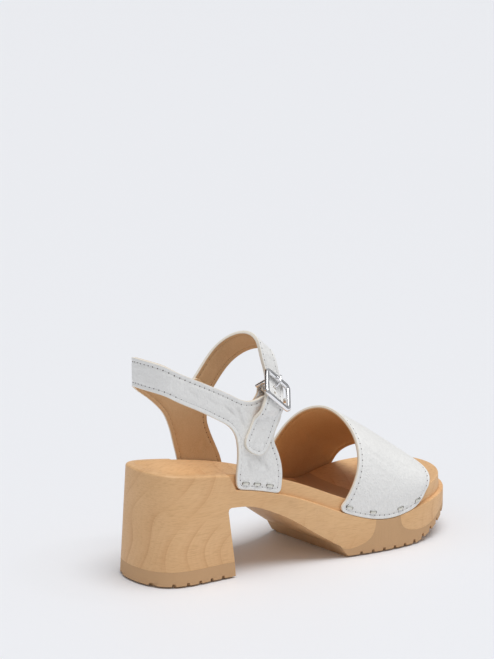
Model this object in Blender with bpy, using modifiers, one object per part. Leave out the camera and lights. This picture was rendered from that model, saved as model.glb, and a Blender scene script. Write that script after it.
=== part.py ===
"""Platform sandal for the right foot.

A split wooden sole on rubber treads, a wide vamp band, two quarters joined by a heel strap,
and an ankle strap that is fastened with a buckle on the outer side.

Sizes are in millimetres and are scaled to metres as the meshes are made.
x runs to the outer side of the foot, y from the back of the heel to the toe, z up from the floor.
"""

import math

import bmesh
import bpy
import numpy as np
from mathutils import Matrix, Vector

MM = 0.001
GAP = 0.3
OBJECT_NAME = "platform_sandal"

# Sole in plan, at the level of the ledge: (place, x, y)
OUTLINE = (
    ("heel_back", 0.0, 0.0),
    ("heel_corner_outer", 22.0, 7.2),
    ("heel_side_outer", 27.5, 34.0),
    ("waist_outer", 36.9, 105.0),
    ("ball_outer", 48.2, 165.0),
    ("toe_side_outer", 40.9, 212.0),
    ("toe_corner_outer", 21.6, 234.4),
    ("toe_tip", -5.3, 242.5),
    ("toe_corner_inner", -26.0, 236.2),
    ("toe_side_inner", -43.3, 215.0),
    ("ball_inner", -48.9, 175.0),
    ("waist_inner", -26.5, 110.0),
    ("heel_side_inner", -27.5, 34.0),
    ("heel_corner_inner", -22.0, 7.2),
)

# Footbed along the foot: (y, height of its rim, depth of its dish)
FOOTBED = (
    (0.0, 71.1, 5.0),
    (35.0, 66.8, 6.0),
    (100.0, 52.4, 3.5),
    (165.0, 30.7, 3.0),
    (190.0, 34.1, 3.0),
    (215.0, 36.6, 2.5),
    (245.0, 38.4, 2.0),
)
RIM_LAND = 5.0
SPINE_FROM_HEEL = 30.0
SPINE_FROM_TOE = 38.0
DISH_RINGS = (0.82, 0.55, 0.2)

# Heel block
HEEL_FLARE = 4.2
FLARE_END = (55.0, 100.0)
HEEL_RUBBER_HEIGHT = 10.2
BREAST_FOOT_Y = 51.2
BREAST_STEP = 0.3
BREAST_HEAD = (47.9, 41.9)
BREAST_FILLET = (48.4, 43.6)

# Underside of the waist, from the heel breast to the forefoot rubber: (y, z)
ARCH = ((50.0, 44.4), (65.0, 42.9), (79.0, 37.9), (93.0, 30.9), (107.0, 21.8), (127.8, 8.6))

# Side view of the joint between rear wood and forefoot rubber: (y, z)
REAR_NOSE = (
    (127.8, 8.6), (130.0, 6.7), (134.0, 5.8), (140.6, 6.7), (146.5, 8.7), (151.0, 12.2), (153.3, 17.4),
    (153.9, 24.0)
)

# Side view of the joint between toe wood and forefoot rubber: (y, z)
TOE_SEAT = (
    (173.3, 24.0), (173.8, 19.0), (175.4, 14.8), (179.6, 12.0), (186.0, 10.3), (195.7, 10.0), (204.7, 11.6),
    (212.0, 14.4), (225.0, 19.8), (243.0, 27.2), (258.0, 34.5)
)
FOREFOOT_REAR_Y = 134.6
SPRING_START_Y = 178.0
SPRING_RISE = 9.4
SPRING_REACH = 20.0

# Tread grooves across the rubber
GROOVE_PITCH = 8.6
GROOVE_DEPTH = 2.2
GROOVE_MOUTH = 3.2
GROOVE_FLOOR = 1.6
HEEL_GROOVE_FIRST = -1.0
HEEL_GROOVES = 6
FOREFOOT_GROOVE_FIRST = 143.2
FOREFOOT_GROOVES = 11

# Rabbet around the sole that takes the edge of the leather
RABBET_HEIGHT = 9.3
RABBET_DEPTH = 2.9
RABBET_DRAFT = 1.0
RABBET_SLANT = 4.8
RABBET_START_OUTER = 54.4
RABBET_START_INNER = 48.0

# Leather
LEATHER = 2.2
SEAT_INSET = 1.3
SIDE_INSET = 4.0
BACK_INSET = 5.5
LEAN_FROM = 66.0
LEAN_TO = 100.0

# Back straps, outer side: (y, z); the two heights at the back of the heel are shared by both sides
STRAP_BACK_LOW = 120.5
STRAP_BACK_HIGH = 139.0
OUTER_STRAP_LOW = (
    (7.0, 118.0), (16.6, 113.7), (30.8, 107.1), (44.0, 99.8), (51.5, 95.0), (55.6, 89.5), (57.0, 82.0),
    (56.4, 72.0), (55.2, 62.0)
)
OUTER_FOOT = (55.6, 86.4)
OUTER_FRONT = ((87.6, 62.6), (86.6, 69.3), (84.2, 77.4), (82.6, 83.5), (84.5, 89.5), (87.4, 94.8))
OUTER_NECK = ((88.6, 98.6), (77.0, 112.0))
OUTER_STRAP_HIGH = ((72.0, 110.0), (66.0, 109.2), (60.0, 111.0), (53.0, 114.8), (41.0, 121.0), (30.8, 125.9),
                    (16.6, 132.3), (7.0, 136.4))

# Back straps, inner side: (y, z)
INNER_STRAP_HIGH = ((7.0, 136.4), (16.6, 132.3), (30.8, 125.9), (41.0, 121.0), (50.0, 116.8), (57.0, 115.4))
INNER_NECK = ((62.5, 116.4), (73.8, 105.4))
INNER_FRONT = ((70.8, 97.0), (69.4, 90.0), (71.2, 83.0), (74.4, 76.0), (78.4, 68.0), (81.6, 59.5))
INNER_FOOT = (83.4, 50.2)
INNER_STRAP_LOW = ((48.6, 66.0), (45.8, 75.5), (43.4, 83.0), (41.0, 89.0), (37.6, 95.6), (32.0, 102.0),
                   (25.0, 107.8), (16.6, 113.0), (7.0, 118.0))
FOOT_CORNER = 4.0
NECK_CORNER = 2.0

# Vamp over the forefoot; the share runs from -1 at the inner edge to 1 at the outer edge:
# (share, y of the throat edge, y of the toe edge)
VAMP_EDGES = (
    (-1.0, 112.0, 194.7),
    (-0.64, 128.8, 198.3),
    (0.0, 146.0, 201.3),
    (0.64, 143.0, 205.3),
    (1.0, 126.5, 195.0),
)
VAMP_ARCH = 140.0
VAMP_WALL = 8.0
VAMP_CREST_Y = 150.0
VAMP_CREST_Z = 87.4
VAMP_CREST_SLOPE = -0.53
VAMP_CREST_BEND = -0.0019
VAMP_CREST_SHIFT = 3.0
VAMP_SHOULDER = 1.1
VAMP_REAR_CORNER = 7.0
VAMP_TOE_CORNER = 14.0

# Middle line of the ankle strap, from its lap on the inner quarter to its free end: (x, y, z, tilt)
ANKLE_STRAP = (
    (-24.9, 55.5, 93.8, 46.0),
    (-24.8, 64.0, 105.0, 46.0),
    (-23.9, 71.5, 115.0, 46.0),
    (-19.5, 82.0, 130.0, 45.0),
    (-1.0, 91.5, 140.5, 42.0),
    (9.2, 91.6, 138.0, 40.0),
    (14.8, 91.3, 128.0, 38.0),
    (18.8, 91.8, 116.6, 38.0),
    (25.6, 86.6, 111.4, 38.0),
    (32.0, 81.3, 106.0, 38.0),
    (31.4, 74.4, 92.0, 34.0),
    (30.9, 65.6, 77.0, 32.0),
)
STRAP_WIDTH = 17.0
LAP_SINK = 0.8
SEAT_BLEND = (97.0, 104.0)
TAIL_ROUND = 8.0
LAP_ROUND = 3.0

# Buckle; places along the strap are measured from the middle of the frame towards the crest
BUCKLE_ALONG_Z = 111.8
BUCKLE_LENGTH = 24.0
BUCKLE_HEIGHT = 23.5
BUCKLE_CORNER = 4.0
BUCKLE_SIDE = 2.7
BUCKLE_TOP_BAR = 3.8
BUCKLE_LOW_BAR = 2.8
BUCKLE_THICKNESS = 2.2
BUCKLE_CLEARANCE = 0.9
BUCKLE_INNER_CORNER = 1.5
CENTRE_BAR_RADIUS = 0.9
CENTRE_BAR_DEPTH = 4.1
CENTRE_BAR_INTO_EAR = 0.8
EAR_HALF = 1.1
EAR_INSETS = (0.3, 0.2)
EAR_BELOW_BAR = 0.3
PRONG_RADIUS = 0.8
PRONG_HOLE_AT = 3.4
PRONG_SHANK = ((2.6, -2.9), (3.3, -1.6), (PRONG_HOLE_AT, 0.2), (3.6, 1.9), (4.3, 3.4))
PRONG_TIP = ((5.8, -0.5), (7.6, 0.0), (11.4, 0.0))
HOLE_PITCH = 4.8
HOLE_RADIUS = 1.0
PRONG_HOLE_RADIUS = 1.4

# Leather tab that holds the buckle's centre bar, lapped inside the outer quarter: (y, z, inset)
TAB_LEATHER = 1.4
TAB_WIDTH = 17.4
TAB_SLOT = 3.6
TAB_SLOT_LENGTH = 13.0
TAB_LAP = ((72.0, 93.0, 1.0), (77.0, 100.5, 2.2))

# Staples: a flat crown over the edge of the leather; the rows give y along the edge
STAPLE_SIZE = (4.4, 1.7, 0.8)
STAPLE_SOFT_EDGE = 0.3
STAPLE_ABOVE_LEDGE = 4.6
QUARTER_STAPLES = {"outer": (61.7, 69.9, 78.8), "inner": (58.0, 66.6, 75.4)}
VAMP_STAPLES = {"outer": (134.6, 151.8, 173.5, 189.0), "inner": (122.0, 145.0, 168.0, 187.0)}

# Colours as linear RGB, with roughness and metallic value
FINISHES = {
    "wood": ((0.60, 0.36, 0.17), 0.55, 0.0),
    "rubber": ((0.47, 0.28, 0.14), 0.75, 0.0),
    "leather": ((0.77, 0.76, 0.74), 0.50, 0.0),
    "metal": ((0.75, 0.75, 0.77), 0.15, 1.0),
}

COLUMNS = 48
PLAN_SAMPLES = 1440
EDGE_STEP = 4.0
BEND_STEP = 5.0


# Curves

def natural_spline(knots, values):
    """Return a cubic curve through the values that is straight at both ends."""
    knots = np.asarray(knots, float)
    values = np.asarray(values, float)
    count = len(knots)
    step = np.diff(knots)
    matrix = np.eye(count)
    right_side = np.zeros_like(values)
    for i in range(1, count - 1):
        matrix[i, i - 1:i + 2] = step[i - 1], 2 * (step[i - 1] + step[i]), step[i]
        rise_after = (values[i + 1] - values[i]) / step[i]
        rise_before = (values[i] - values[i - 1]) / step[i - 1]
        right_side[i] = 6 * (rise_after - rise_before)
    bend = np.linalg.solve(matrix, right_side)

    def curve(at):
        at = np.asarray(at, float)
        i = np.clip(np.searchsorted(knots, at) - 1, 0, count - 2)
        shape = at.shape + (1,) * (values.ndim - 1)
        width = step[i].reshape(shape)
        after = (at - knots[i]).reshape(shape)
        before = (knots[i + 1] - at).reshape(shape)
        cubic = (bend[i] * before ** 3 + bend[i + 1] * after ** 3) / (6 * width)
        start = (values[i] / width - bend[i] * width / 6) * before
        end = (values[i + 1] / width - bend[i + 1] * width / 6) * after
        return cubic + start + end

    return curve


def chord_lengths(points):
    """Return the distance along a line of points, from zero at its first point."""
    steps = np.linalg.norm(np.diff(np.asarray(points, float), axis=0), axis=1)
    return np.concatenate(([0.0], np.cumsum(steps)))


def smooth_line(points, step=EDGE_STEP):
    """Return evenly spread points on a smooth curve through a few points."""
    lengths = chord_lengths(points)
    count = max(2, int(math.ceil(lengths[-1] / step)) + 1)
    return natural_spline(lengths, points)(np.linspace(0.0, lengths[-1], count))


def smoothstep(value):
    """Return a soft step from 0 to 1 as the value goes from 0 to 1."""
    value = np.clip(value, 0.0, 1.0)
    return value * value * (3.0 - 2.0 * value)


def shifted(line, distance):
    """Return a plane line moved sideways to its left by a distance."""
    line = np.asarray(line, float)
    run = np.gradient(line, axis=0)
    run /= np.linalg.norm(run, axis=1)[:, None]
    return line + distance * np.column_stack((-run[:, 1], run[:, 0]))


def trimmed(line, start, end):
    """Return a line without its first and last stretch."""
    lengths = chord_lengths(line)
    keep = (lengths > start) & (lengths < lengths[-1] - end)
    ends = np.array([start, lengths[-1] - end])
    first, last = np.column_stack([np.interp(ends, lengths, line[:, axis]) for axis in range(2)])
    return np.vstack((first, line[keep], last))


def rounded_outline(edges, corners):
    """Join edges end to end, with a rounded corner after each one."""
    outline = []
    count = len(edges)
    for i, edge in enumerate(edges):
        following = edges[(i + 1) % count]
        radius = corners[i]
        line = trimmed(edge, corners[i - 1], radius)
        outline.extend(line)
        if radius > 0.0:
            after = trimmed(following, radius, 0.0)[0]
            for share in (0.25, 0.5, 0.75):
                near = line[-1] + (edge[-1] - line[-1]) * share
                far = edge[-1] + (after - edge[-1]) * share
                outline.append(near + (far - near) * share)
    return without_repeats(np.array(outline))


def without_repeats(points, least=0.02):
    """Return a closed outline with no two neighbours closer than a least distance."""
    kept = [points[0]]
    for point in points[1:]:
        if np.linalg.norm(point - kept[-1]) > least:
            kept.append(point)
    if np.linalg.norm(kept[0] - kept[-1]) <= least:
        kept.pop()
    return np.array(kept)


# Sole outline and footbed

def sample_plan():
    """Return arc length, points and outward normals around the sole's outline."""
    points = np.array([row[1:] for row in OUTLINE])
    wrap = 4
    ring = np.vstack((points[-wrap:], points, points[:wrap + 1]))
    lengths = chord_lengths(ring)
    curve = natural_spline(lengths, ring)
    along = np.linspace(lengths[wrap], lengths[wrap + len(points)], PLAN_SAMPLES + 1)
    line = curve(along)
    run = np.gradient(line, axis=0)
    run[0] = run[-1] = line[1] - line[-2]
    run /= np.linalg.norm(run, axis=1)[:, None]
    return chord_lengths(line), line, np.column_stack((run[:, 1], -run[:, 0]))


ARC, PLAN, PLAN_NORMAL = sample_plan()
ROUND = ARC[-1]
TIP = int(PLAN[:, 1].argmax())
X_MIDDLE = (PLAN[:, 0].max() + PLAN[:, 0].min()) / 2
Y_MIDDLE = (PLAN[:, 1].max() - HEEL_FLARE) / 2

RIM = natural_spline([row[0] for row in FOOTBED], [row[1] for row in FOOTBED])
DISH = natural_spline([row[0] for row in FOOTBED], [row[2] for row in FOOTBED])


def ledge_z(y):
    """Return the height of the ledge under the leather's edge."""
    return RIM(y) - RABBET_HEIGHT


def plan_at(s):
    """Return the outline's point and outward normal at a distance around from the heel back."""
    place = s % ROUND
    point = np.array([np.interp(place, ARC, PLAN[:, axis]) for axis in range(2)])
    normal = np.array([np.interp(place, ARC, PLAN_NORMAL[:, axis]) for axis in range(2)])
    return point, normal / np.linalg.norm(normal)


def around(y, side):
    """Return the distance around the outline at which a side of the foot reaches y."""
    if side == "outer":
        return float(np.interp(y, PLAN[:TIP + 1, 1], ARC[:TIP + 1]))
    return float(np.interp(y, PLAN[TIP:, 1][::-1], ARC[TIP:][::-1])) - ROUND


def side_x(y, side, offset):
    """Return x on one side of the outline, moved out by an offset."""
    half = slice(0, TIP + 1) if side == "outer" else slice(TIP, None)
    line = (PLAN + PLAN_NORMAL * offset)[half]
    order = np.argsort(line[:, 1])
    return np.interp(y, line[order, 1], line[order, 0])


# Meshes

def new_object(name, mesh, collection):
    """Add a mesh to the model as an object."""
    obj = bpy.data.objects.new(name, mesh)
    collection.objects.link(obj)
    return obj


def as_cutter(obj):
    """Mark an object as a tool that is not part of the sandal."""
    obj.hide_render = True
    obj.display_type = "WIRE"
    return obj


def finish(obj, kind, smooth_angle=40.0):
    """Give an object its own material and smooth shading."""
    colour, roughness, metallic = FINISHES[kind]
    material = bpy.data.materials.new(f"{obj.name}_{kind}")
    material.use_nodes = True
    shader = material.node_tree.nodes["Principled BSDF"]
    shader.inputs["Base Color"].default_value = (*colour, 1.0)
    shader.inputs["Roughness"].default_value = roughness
    shader.inputs["Metallic"].default_value = metallic
    material.diffuse_color = (*colour, 1.0)
    obj.data.materials.append(material)
    obj.data.shade_smooth()
    obj.data.set_sharp_from_angle(angle=math.radians(smooth_angle))
    return obj


def boolean(obj, operation, tool):
    """Cut an object with a tool, or join the tool to it."""
    modifier = obj.modifiers.new(f"{operation.lower()}_{tool.name}", "BOOLEAN")
    modifier.operation = operation
    modifier.solver = "EXACT"
    modifier.object = tool


def to_model(point):
    """Return a point in millimetres as a place in the model."""
    return Vector(((point[0] - X_MIDDLE) * MM, (point[1] - Y_MIDDLE) * MM, point[2] * MM))


def flat_piece(loops, half_thickness):
    """Return a mesh of flat outlines with a thickness, lying in the plane of its first two axes."""
    curve = bpy.data.curves.new("flat_outline", "CURVE")
    curve.dimensions = "2D"
    curve.fill_mode = "BOTH"
    curve.extrude = half_thickness
    for loop in loops:
        spline = curve.splines.new("POLY")
        spline.points.add(len(loop) - 1)
        spline.use_cyclic_u = True
        for target, point in zip(spline.points, loop):
            target.co = (point[0], point[1], 0.0, 1.0)
    guide = bpy.data.objects.new("flat_outline", curve)
    bpy.context.scene.collection.objects.link(guide)
    evaluated = guide.evaluated_get(bpy.context.evaluated_depsgraph_get())
    mesh = bpy.data.meshes.new_from_object(evaluated)
    bpy.data.objects.remove(guide)
    bpy.data.curves.remove(curve)
    return mesh


def bent_piece(name, loops, thickness, cuts, place, collection):
    """Bend a flat piece over a surface.

    cuts gives the places of the folds along the first and the second axis, and place turns
    (first, second, height above the middle of the piece) into a point in millimetres.
    """
    mesh = flat_piece(loops, thickness / 2)
    work = bmesh.new()
    work.from_mesh(mesh)
    bmesh.ops.remove_doubles(work, verts=work.verts, dist=0.001)
    bmesh.ops.dissolve_limit(work, angle_limit=math.radians(0.05), verts=work.verts, edges=work.edges)
    for axis, places in enumerate(cuts):
        normal = Vector((1.0, 0.0, 0.0)) if axis == 0 else Vector((0.0, 1.0, 0.0))
        for at in places:
            parts = work.verts[:] + work.edges[:] + work.faces[:]
            bmesh.ops.bisect_plane(work, geom=parts, dist=0.0005, plane_co=normal * at, plane_no=normal)
    bmesh.ops.triangulate(work, faces=work.faces[:])
    for vert in work.verts:
        vert.co = to_model(place(*vert.co))
    bmesh.ops.recalc_face_normals(work, faces=work.faces[:])
    work.to_mesh(mesh)
    work.free()
    mesh.name = name
    return new_object(name, mesh, collection)


def side_prism(name, profile, collection):
    """Return a tool with a side-view profile of (y, z) points that runs across the whole sole."""
    half_width = 80.0
    tool = bent_piece(name, [without_repeats(np.asarray(profile, float))], 2 * half_width, ((), ()),
                      lambda y, z, across: (across, y, z), collection)
    return as_cutter(tool)


def loft(name, rings, collection):
    """Return a closed block through rings of points, with strips across its first and last ring."""
    work = bmesh.new()
    layers = [[work.verts.new(to_model(point)) for point in ring] for ring in rings]
    count = len(rings[0])
    for low, high in zip(layers[:-1], layers[1:]):
        for i in range(count):
            j = (i + 1) % count
            work.faces.new((low[i], low[j], high[j], high[i]))
    for layer in (layers[0], layers[-1]):
        for i in range(count // 2):
            strip = (layer[i], layer[i + 1], layer[count - i - 1], layer[(count - i) % count])
            work.faces.new(list(dict.fromkeys(strip)))
    bmesh.ops.recalc_face_normals(work, faces=work.faces[:])
    mesh = bpy.data.meshes.new(name)
    work.to_mesh(mesh)
    work.free()
    return new_object(name, mesh, collection)


# Sole

def flare_at(y, z):
    """Return how far the heel's side stands out from the outline."""
    share = 1.0 - smoothstep((y - FLARE_END[0]) / (FLARE_END[1] - FLARE_END[0]))
    return HEEL_FLARE * (1.0 - z / float(RIM(y))) * share


def sole_columns():
    """Return the distances around the outline at which the block has a column."""
    outer = np.linspace(0.0, ARC[TIP], COLUMNS + 1)
    inner = np.linspace(ARC[TIP], ROUND, COLUMNS + 1)
    return np.concatenate((outer, inner[1:-1]))


def sole_block(name, collection):
    """Return the whole sole as one block: flared wall, rim and dished footbed."""
    below_floor = -5.0
    columns = [plan_at(s) for s in sole_columns()]
    spine_low = SPINE_FROM_HEEL
    spine_high = PLAN[TIP, 1] - SPINE_FROM_TOE
    foot, rim, land = [], [], []
    for point, normal in columns:
        top = float(RIM(point[1]))
        foot.append((*(point + normal * flare_at(point[1], below_floor)), below_floor))
        rim.append((*point, top))
        land.append((*(point - normal * RIM_LAND), top))
    rings = [foot, rim, land]
    for share in DISH_RINGS:
        ring = []
        for (x, y, _) in land:
            spine_y = min(max(y, spine_low), spine_high)
            spine_x = (side_x(spine_y, "outer", 0.0) + side_x(spine_y, "inner", 0.0)) / 2
            inner_y = spine_y + (y - spine_y) * share
            z = float(RIM(inner_y)) - float(DISH(inner_y)) * (1.0 - share ** 3)
            ring.append((spine_x + (x - spine_x) * share, inner_y, z))
        rings.append(ring)
    return loft(name, rings, collection)


def rabbet_tool(collection):
    """Return the tool that cuts the rabbet from one side of the heel round the toe to the other."""
    outside = 6.0
    above_rim = 8.0
    reach = 15.0
    start = around(RABBET_START_OUTER, "outer")
    end = around(RABBET_START_INNER, "inner") + ROUND
    slant = RABBET_SLANT * (RABBET_HEIGHT + above_rim) / RABBET_HEIGHT
    places = np.concatenate((np.linspace(start, start + reach, 4)[:-1],
                             np.linspace(start + reach, end - reach, 2 * COLUMNS),
                             np.linspace(end - reach, end, 4)[1:]))
    work = bmesh.new()
    sections = []
    for s in places:
        back_set = slant * max(0.0, 1.0 - (s - start) / reach) - slant * max(0.0, 1.0 - (end - s) / reach)
        section = []
        for offset, rise, lean in ((-RABBET_DEPTH, 0.0, 0.0), (outside, 0.0, 0.0), (outside, above_rim, 1.0),
                                   (-RABBET_DEPTH - RABBET_DRAFT, above_rim, 1.0)):
            point, normal = plan_at(s - back_set * lean)
            height = float(ledge_z(plan_at(s)[0][1])) + (RABBET_HEIGHT + rise) * lean
            section.append(work.verts.new(to_model((*(point + normal * offset), height))))
        sections.append(section)
    for one, two in zip(sections[:-1], sections[1:]):
        for i in range(4):
            j = (i + 1) % 4
            work.faces.new((one[i], one[j], two[j], two[i]))
    work.faces.new(sections[0])
    work.faces.new(sections[-1])
    bmesh.ops.triangulate(work, faces=work.faces[:])
    bmesh.ops.recalc_face_normals(work, faces=work.faces[:])
    mesh = bpy.data.meshes.new("rabbet_tool")
    work.to_mesh(mesh)
    work.free()
    return as_cutter(new_object("rabbet_tool", mesh, collection))


def spring_z(y):
    """Return the height of the sole's underside, which lifts towards the toe."""
    past = max(0.0, y - SPRING_START_Y) / SPRING_REACH
    return SPRING_RISE * (math.sqrt(1.0 + past * past) - 1.0)


def grooved_line(first, count):
    """Return the side view of a row of tread grooves on the sole's underside."""
    line = []
    for i in range(count):
        y = first + i * GROOVE_PITCH
        for step, depth in ((-GROOVE_MOUTH, 0.0), (-GROOVE_FLOOR, GROOVE_DEPTH),
                            (GROOVE_FLOOR, GROOVE_DEPTH), (GROOVE_MOUTH, 0.0)):
            line.append((y + step / 2, spring_z(y + step / 2) + depth))
    return line


def build_sole(parts, tools):
    """Build the two wooden pieces and the two rubber treads."""
    behind, ahead, above = -20.0, 262.0, 95.0
    arch = smooth_line(ARCH)
    nose = smooth_line(REAR_NOSE, 2.5)
    seat = smooth_line(TOE_SEAT, 2.5)
    nose_rubber = shifted(nose, -GAP)
    seat_rubber = shifted(seat, -GAP)
    profiles = {
        "wood_sole": [(behind, HEEL_RUBBER_HEIGHT), (BREAST_FOOT_Y - BREAST_STEP, HEEL_RUBBER_HEIGHT),
                      BREAST_HEAD, BREAST_FILLET, *arch[:-1], *nose, (nose[-1][0], above), (behind, above)],
        "wood_toe": [(seat[0][0], above), *seat, (ahead, seat[-1][1]), (ahead, above)],
        "forefoot_rubber": [(FOREFOOT_REAR_Y, 0.0), *grooved_line(FOREFOOT_GROOVE_FIRST, FOREFOOT_GROOVES),
                            (PLAN[TIP, 1], spring_z(PLAN[TIP, 1])), (ahead, spring_z(ahead)),
                            (ahead, seat_rubber[-1][1]), *seat_rubber[::-1], (seat_rubber[0][0], above),
                            (nose_rubber[-1][0], above), *nose_rubber[::-1]],
        "heel_rubber": [(behind, 0.0), *grooved_line(HEEL_GROOVE_FIRST, HEEL_GROOVES), (BREAST_FOOT_Y, 0.0),
                        (BREAST_FOOT_Y - BREAST_STEP, HEEL_RUBBER_HEIGHT - GAP),
                        (behind, HEEL_RUBBER_HEIGHT - GAP)],
    }
    rabbet = rabbet_tool(tools)
    for name, profile in profiles.items():
        piece = sole_block(name, parts)
        boolean(piece, "INTERSECT", side_prism(f"{name}_profile", profile, tools))
        if name != "heel_rubber":
            boolean(piece, "DIFFERENCE", rabbet)
        finish(piece, "wood" if name.startswith("wood") else "rubber")


# Upper

def strap_inset(s, z):
    """Return how far inside the outline the middle of the leather stands."""
    rise = smoothstep((z - LEAN_FROM) / (LEAN_TO - LEAN_FROM))
    if s > ROUND / 2:
        s -= ROUND
    side_share = smoothstep((abs(s) - 20.0) / 40.0)
    top = BACK_INSET + (SIDE_INSET - BACK_INSET) * side_share
    return SEAT_INSET + (top - SEAT_INSET) * rise


def around_heel(s, z, lift):
    """Return a point on the leather that stands around the heel."""
    point, normal = plan_at(s)
    return (*(point + normal * (lift - strap_inset(s, z))), z)


def seat_x(y, z, side, lift):
    """Return x on the quarter at (y, z), lifted off the middle of its leather."""
    sign = 1.0 if side == "outer" else -1.0
    s = around(y, side)
    return float(side_x(y, side, -strap_inset(s, z))) + sign * lift


def foot_line(side, rear, front):
    """Return the lower edge of a quarter along the ledge."""
    steps = np.linspace(rear, front, 9)
    return np.array([(around(y, side), float(ledge_z(y)) + GAP) for y in steps])


def on_side(side, rows):
    """Return (y, z) rows as places on the pattern around the heel."""
    return [(around(y, side), z) for y, z in rows]


def quarters_outline():
    """Return the flat outline of both quarters and the heel strap."""
    back_low = [(0.0, STRAP_BACK_LOW)]
    back_high = [(0.0, STRAP_BACK_HIGH)]
    outer_foot = foot_line("outer", *OUTER_FOOT)
    inner_foot = foot_line("inner", *INNER_FOOT)
    outer_neck = on_side("outer", OUTER_NECK)
    inner_neck = on_side("inner", INNER_NECK)
    low = on_side("inner", INNER_STRAP_LOW) + back_low + on_side("outer", OUTER_STRAP_LOW)
    high = on_side("outer", OUTER_STRAP_HIGH) + back_high + on_side("inner", INNER_STRAP_HIGH)
    edges = (
        smooth_line([tuple(inner_foot[-1])] + low + [tuple(outer_foot[0])]),
        outer_foot,
        smooth_line([tuple(outer_foot[-1])] + on_side("outer", OUTER_FRONT) + outer_neck[:1]),
        np.array(outer_neck),
        smooth_line(outer_neck[1:] + high + inner_neck[:1]),
        np.array(inner_neck),
        smooth_line(inner_neck[1:] + on_side("inner", INNER_FRONT) + [tuple(inner_foot[0])]),
        inner_foot,
    )
    corners = (FOOT_CORNER, FOOT_CORNER, NECK_CORNER, NECK_CORNER, NECK_CORNER, NECK_CORNER,
               FOOT_CORNER, FOOT_CORNER)
    return rounded_outline(edges, corners)


def strap_line():
    """Return the ankle strap's middle line and width direction as curves along its length."""
    rows = np.array(ANKLE_STRAP)
    lengths = chord_lengths(rows[:, :3])
    middle = natural_spline(lengths, rows[:, :3])
    tilt = natural_spline(lengths, np.radians(rows[:, 3]))
    return middle, tilt, lengths[-1]


STRAP_MIDDLE, STRAP_TILT, STRAP_LENGTH = strap_line()


def seated(point):
    """Return a strap point that lies on the quarters near its two ends."""
    x, y, z = point
    share = 1.0 - float(smoothstep((z - SEAT_BLEND[0]) / (SEAT_BLEND[1] - SEAT_BLEND[0])))
    if x > 0.0:
        seat = seat_x(y, z, "outer", LEATHER + GAP)
    else:
        seat = seat_x(y, z, "inner", LEATHER - LAP_SINK)
    return np.array([x + (seat - x) * share, y, z])


def strap_point(along, across):
    """Return a point on the middle of the strap's leather."""
    tilt = float(STRAP_TILT(along))
    width = np.array([0.0, math.cos(tilt), -math.sin(tilt)])
    return seated(STRAP_MIDDLE(along) + width * across)


def strap_frame(along, across):
    """Return a point on the strap with its directions along, across and outward."""
    reach = 0.5
    point = strap_point(along, across)
    run = strap_point(along + reach, across) - strap_point(along - reach, across)
    run /= np.linalg.norm(run)
    width = strap_point(along, across + reach) - strap_point(along, across - reach)
    outward = np.cross(width, run)
    outward /= np.linalg.norm(outward)
    return point, run, np.cross(run, outward), outward


def strap_place(along, across, lift):
    """Return a point of the ankle strap."""
    point, _, _, outward = strap_frame(along, across)
    return point + outward * lift


def build_back_straps(parts, tools):
    """Build both quarters, the heel strap and the ankle strap as one piece of leather."""
    outline = quarters_outline()
    turn_cuts = np.arange(math.floor(outline[:, 0].min()), outline[:, 0].max(), BEND_STEP)
    quarters = bent_piece("back_straps", [outline], LEATHER, (turn_cuts, np.arange(62.0, 112.0, 8.0)),
                          around_heel, parts)
    half = STRAP_WIDTH / 2
    sides = [np.array(line, float) for line in (
        ((0.0, -half), (STRAP_LENGTH, -half)), ((STRAP_LENGTH, -half), (STRAP_LENGTH, half)),
        ((STRAP_LENGTH, half), (0.0, half)), ((0.0, half), (0.0, -half)))]
    strap_outline = rounded_outline(sides, (TAIL_ROUND, TAIL_ROUND, LAP_ROUND, LAP_ROUND))
    cuts = (np.arange(2.0, STRAP_LENGTH, BEND_STEP), (-half / 2, 0.0, half / 2))
    strap = as_cutter(bent_piece("ankle_strap", [strap_outline], LEATHER, cuts, strap_place, tools))
    boolean(quarters, "UNION", strap)
    for i in range(3):
        radius = PRONG_HOLE_RADIUS if i == 0 else HOLE_RADIUS
        boolean(quarters, "DIFFERENCE", strap_hole(i, radius, tools))
    finish(quarters, "leather")


def strap_hole(index, radius, tools):
    """Return the tool for one punched hole in the ankle strap."""
    frame = buckle_frame()
    _, along, across, outward = frame
    bpy.ops.mesh.primitive_cylinder_add(vertices=12, radius=radius * MM, depth=8.0 * MM)
    tool = bpy.context.object
    tool.name = f"strap_hole_{index + 1}"
    turn = Matrix((across, along, outward)).transposed().to_4x4()
    middle = in_buckle(frame, 0.0, PRONG_HOLE_AT - index * HOLE_PITCH, 0.0)
    tool.matrix_world = Matrix.Translation(to_model(middle)) @ turn
    for owner in tool.users_collection:
        owner.objects.unlink(tool)
    tools.objects.link(tool)
    return as_cutter(tool)


def vamp_place(across, y, lift):
    """Return a point of the vamp, which rises from both ledges and arches over the foot."""
    reach = 0.4
    point = vamp_point(across, y)
    run = vamp_point(across + reach, y) - vamp_point(across - reach, y)
    length = vamp_point(across, y + reach) - vamp_point(across, y - reach)
    outward = np.cross(run, length)
    outward = outward / np.linalg.norm(outward)
    return point + outward * lift


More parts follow.
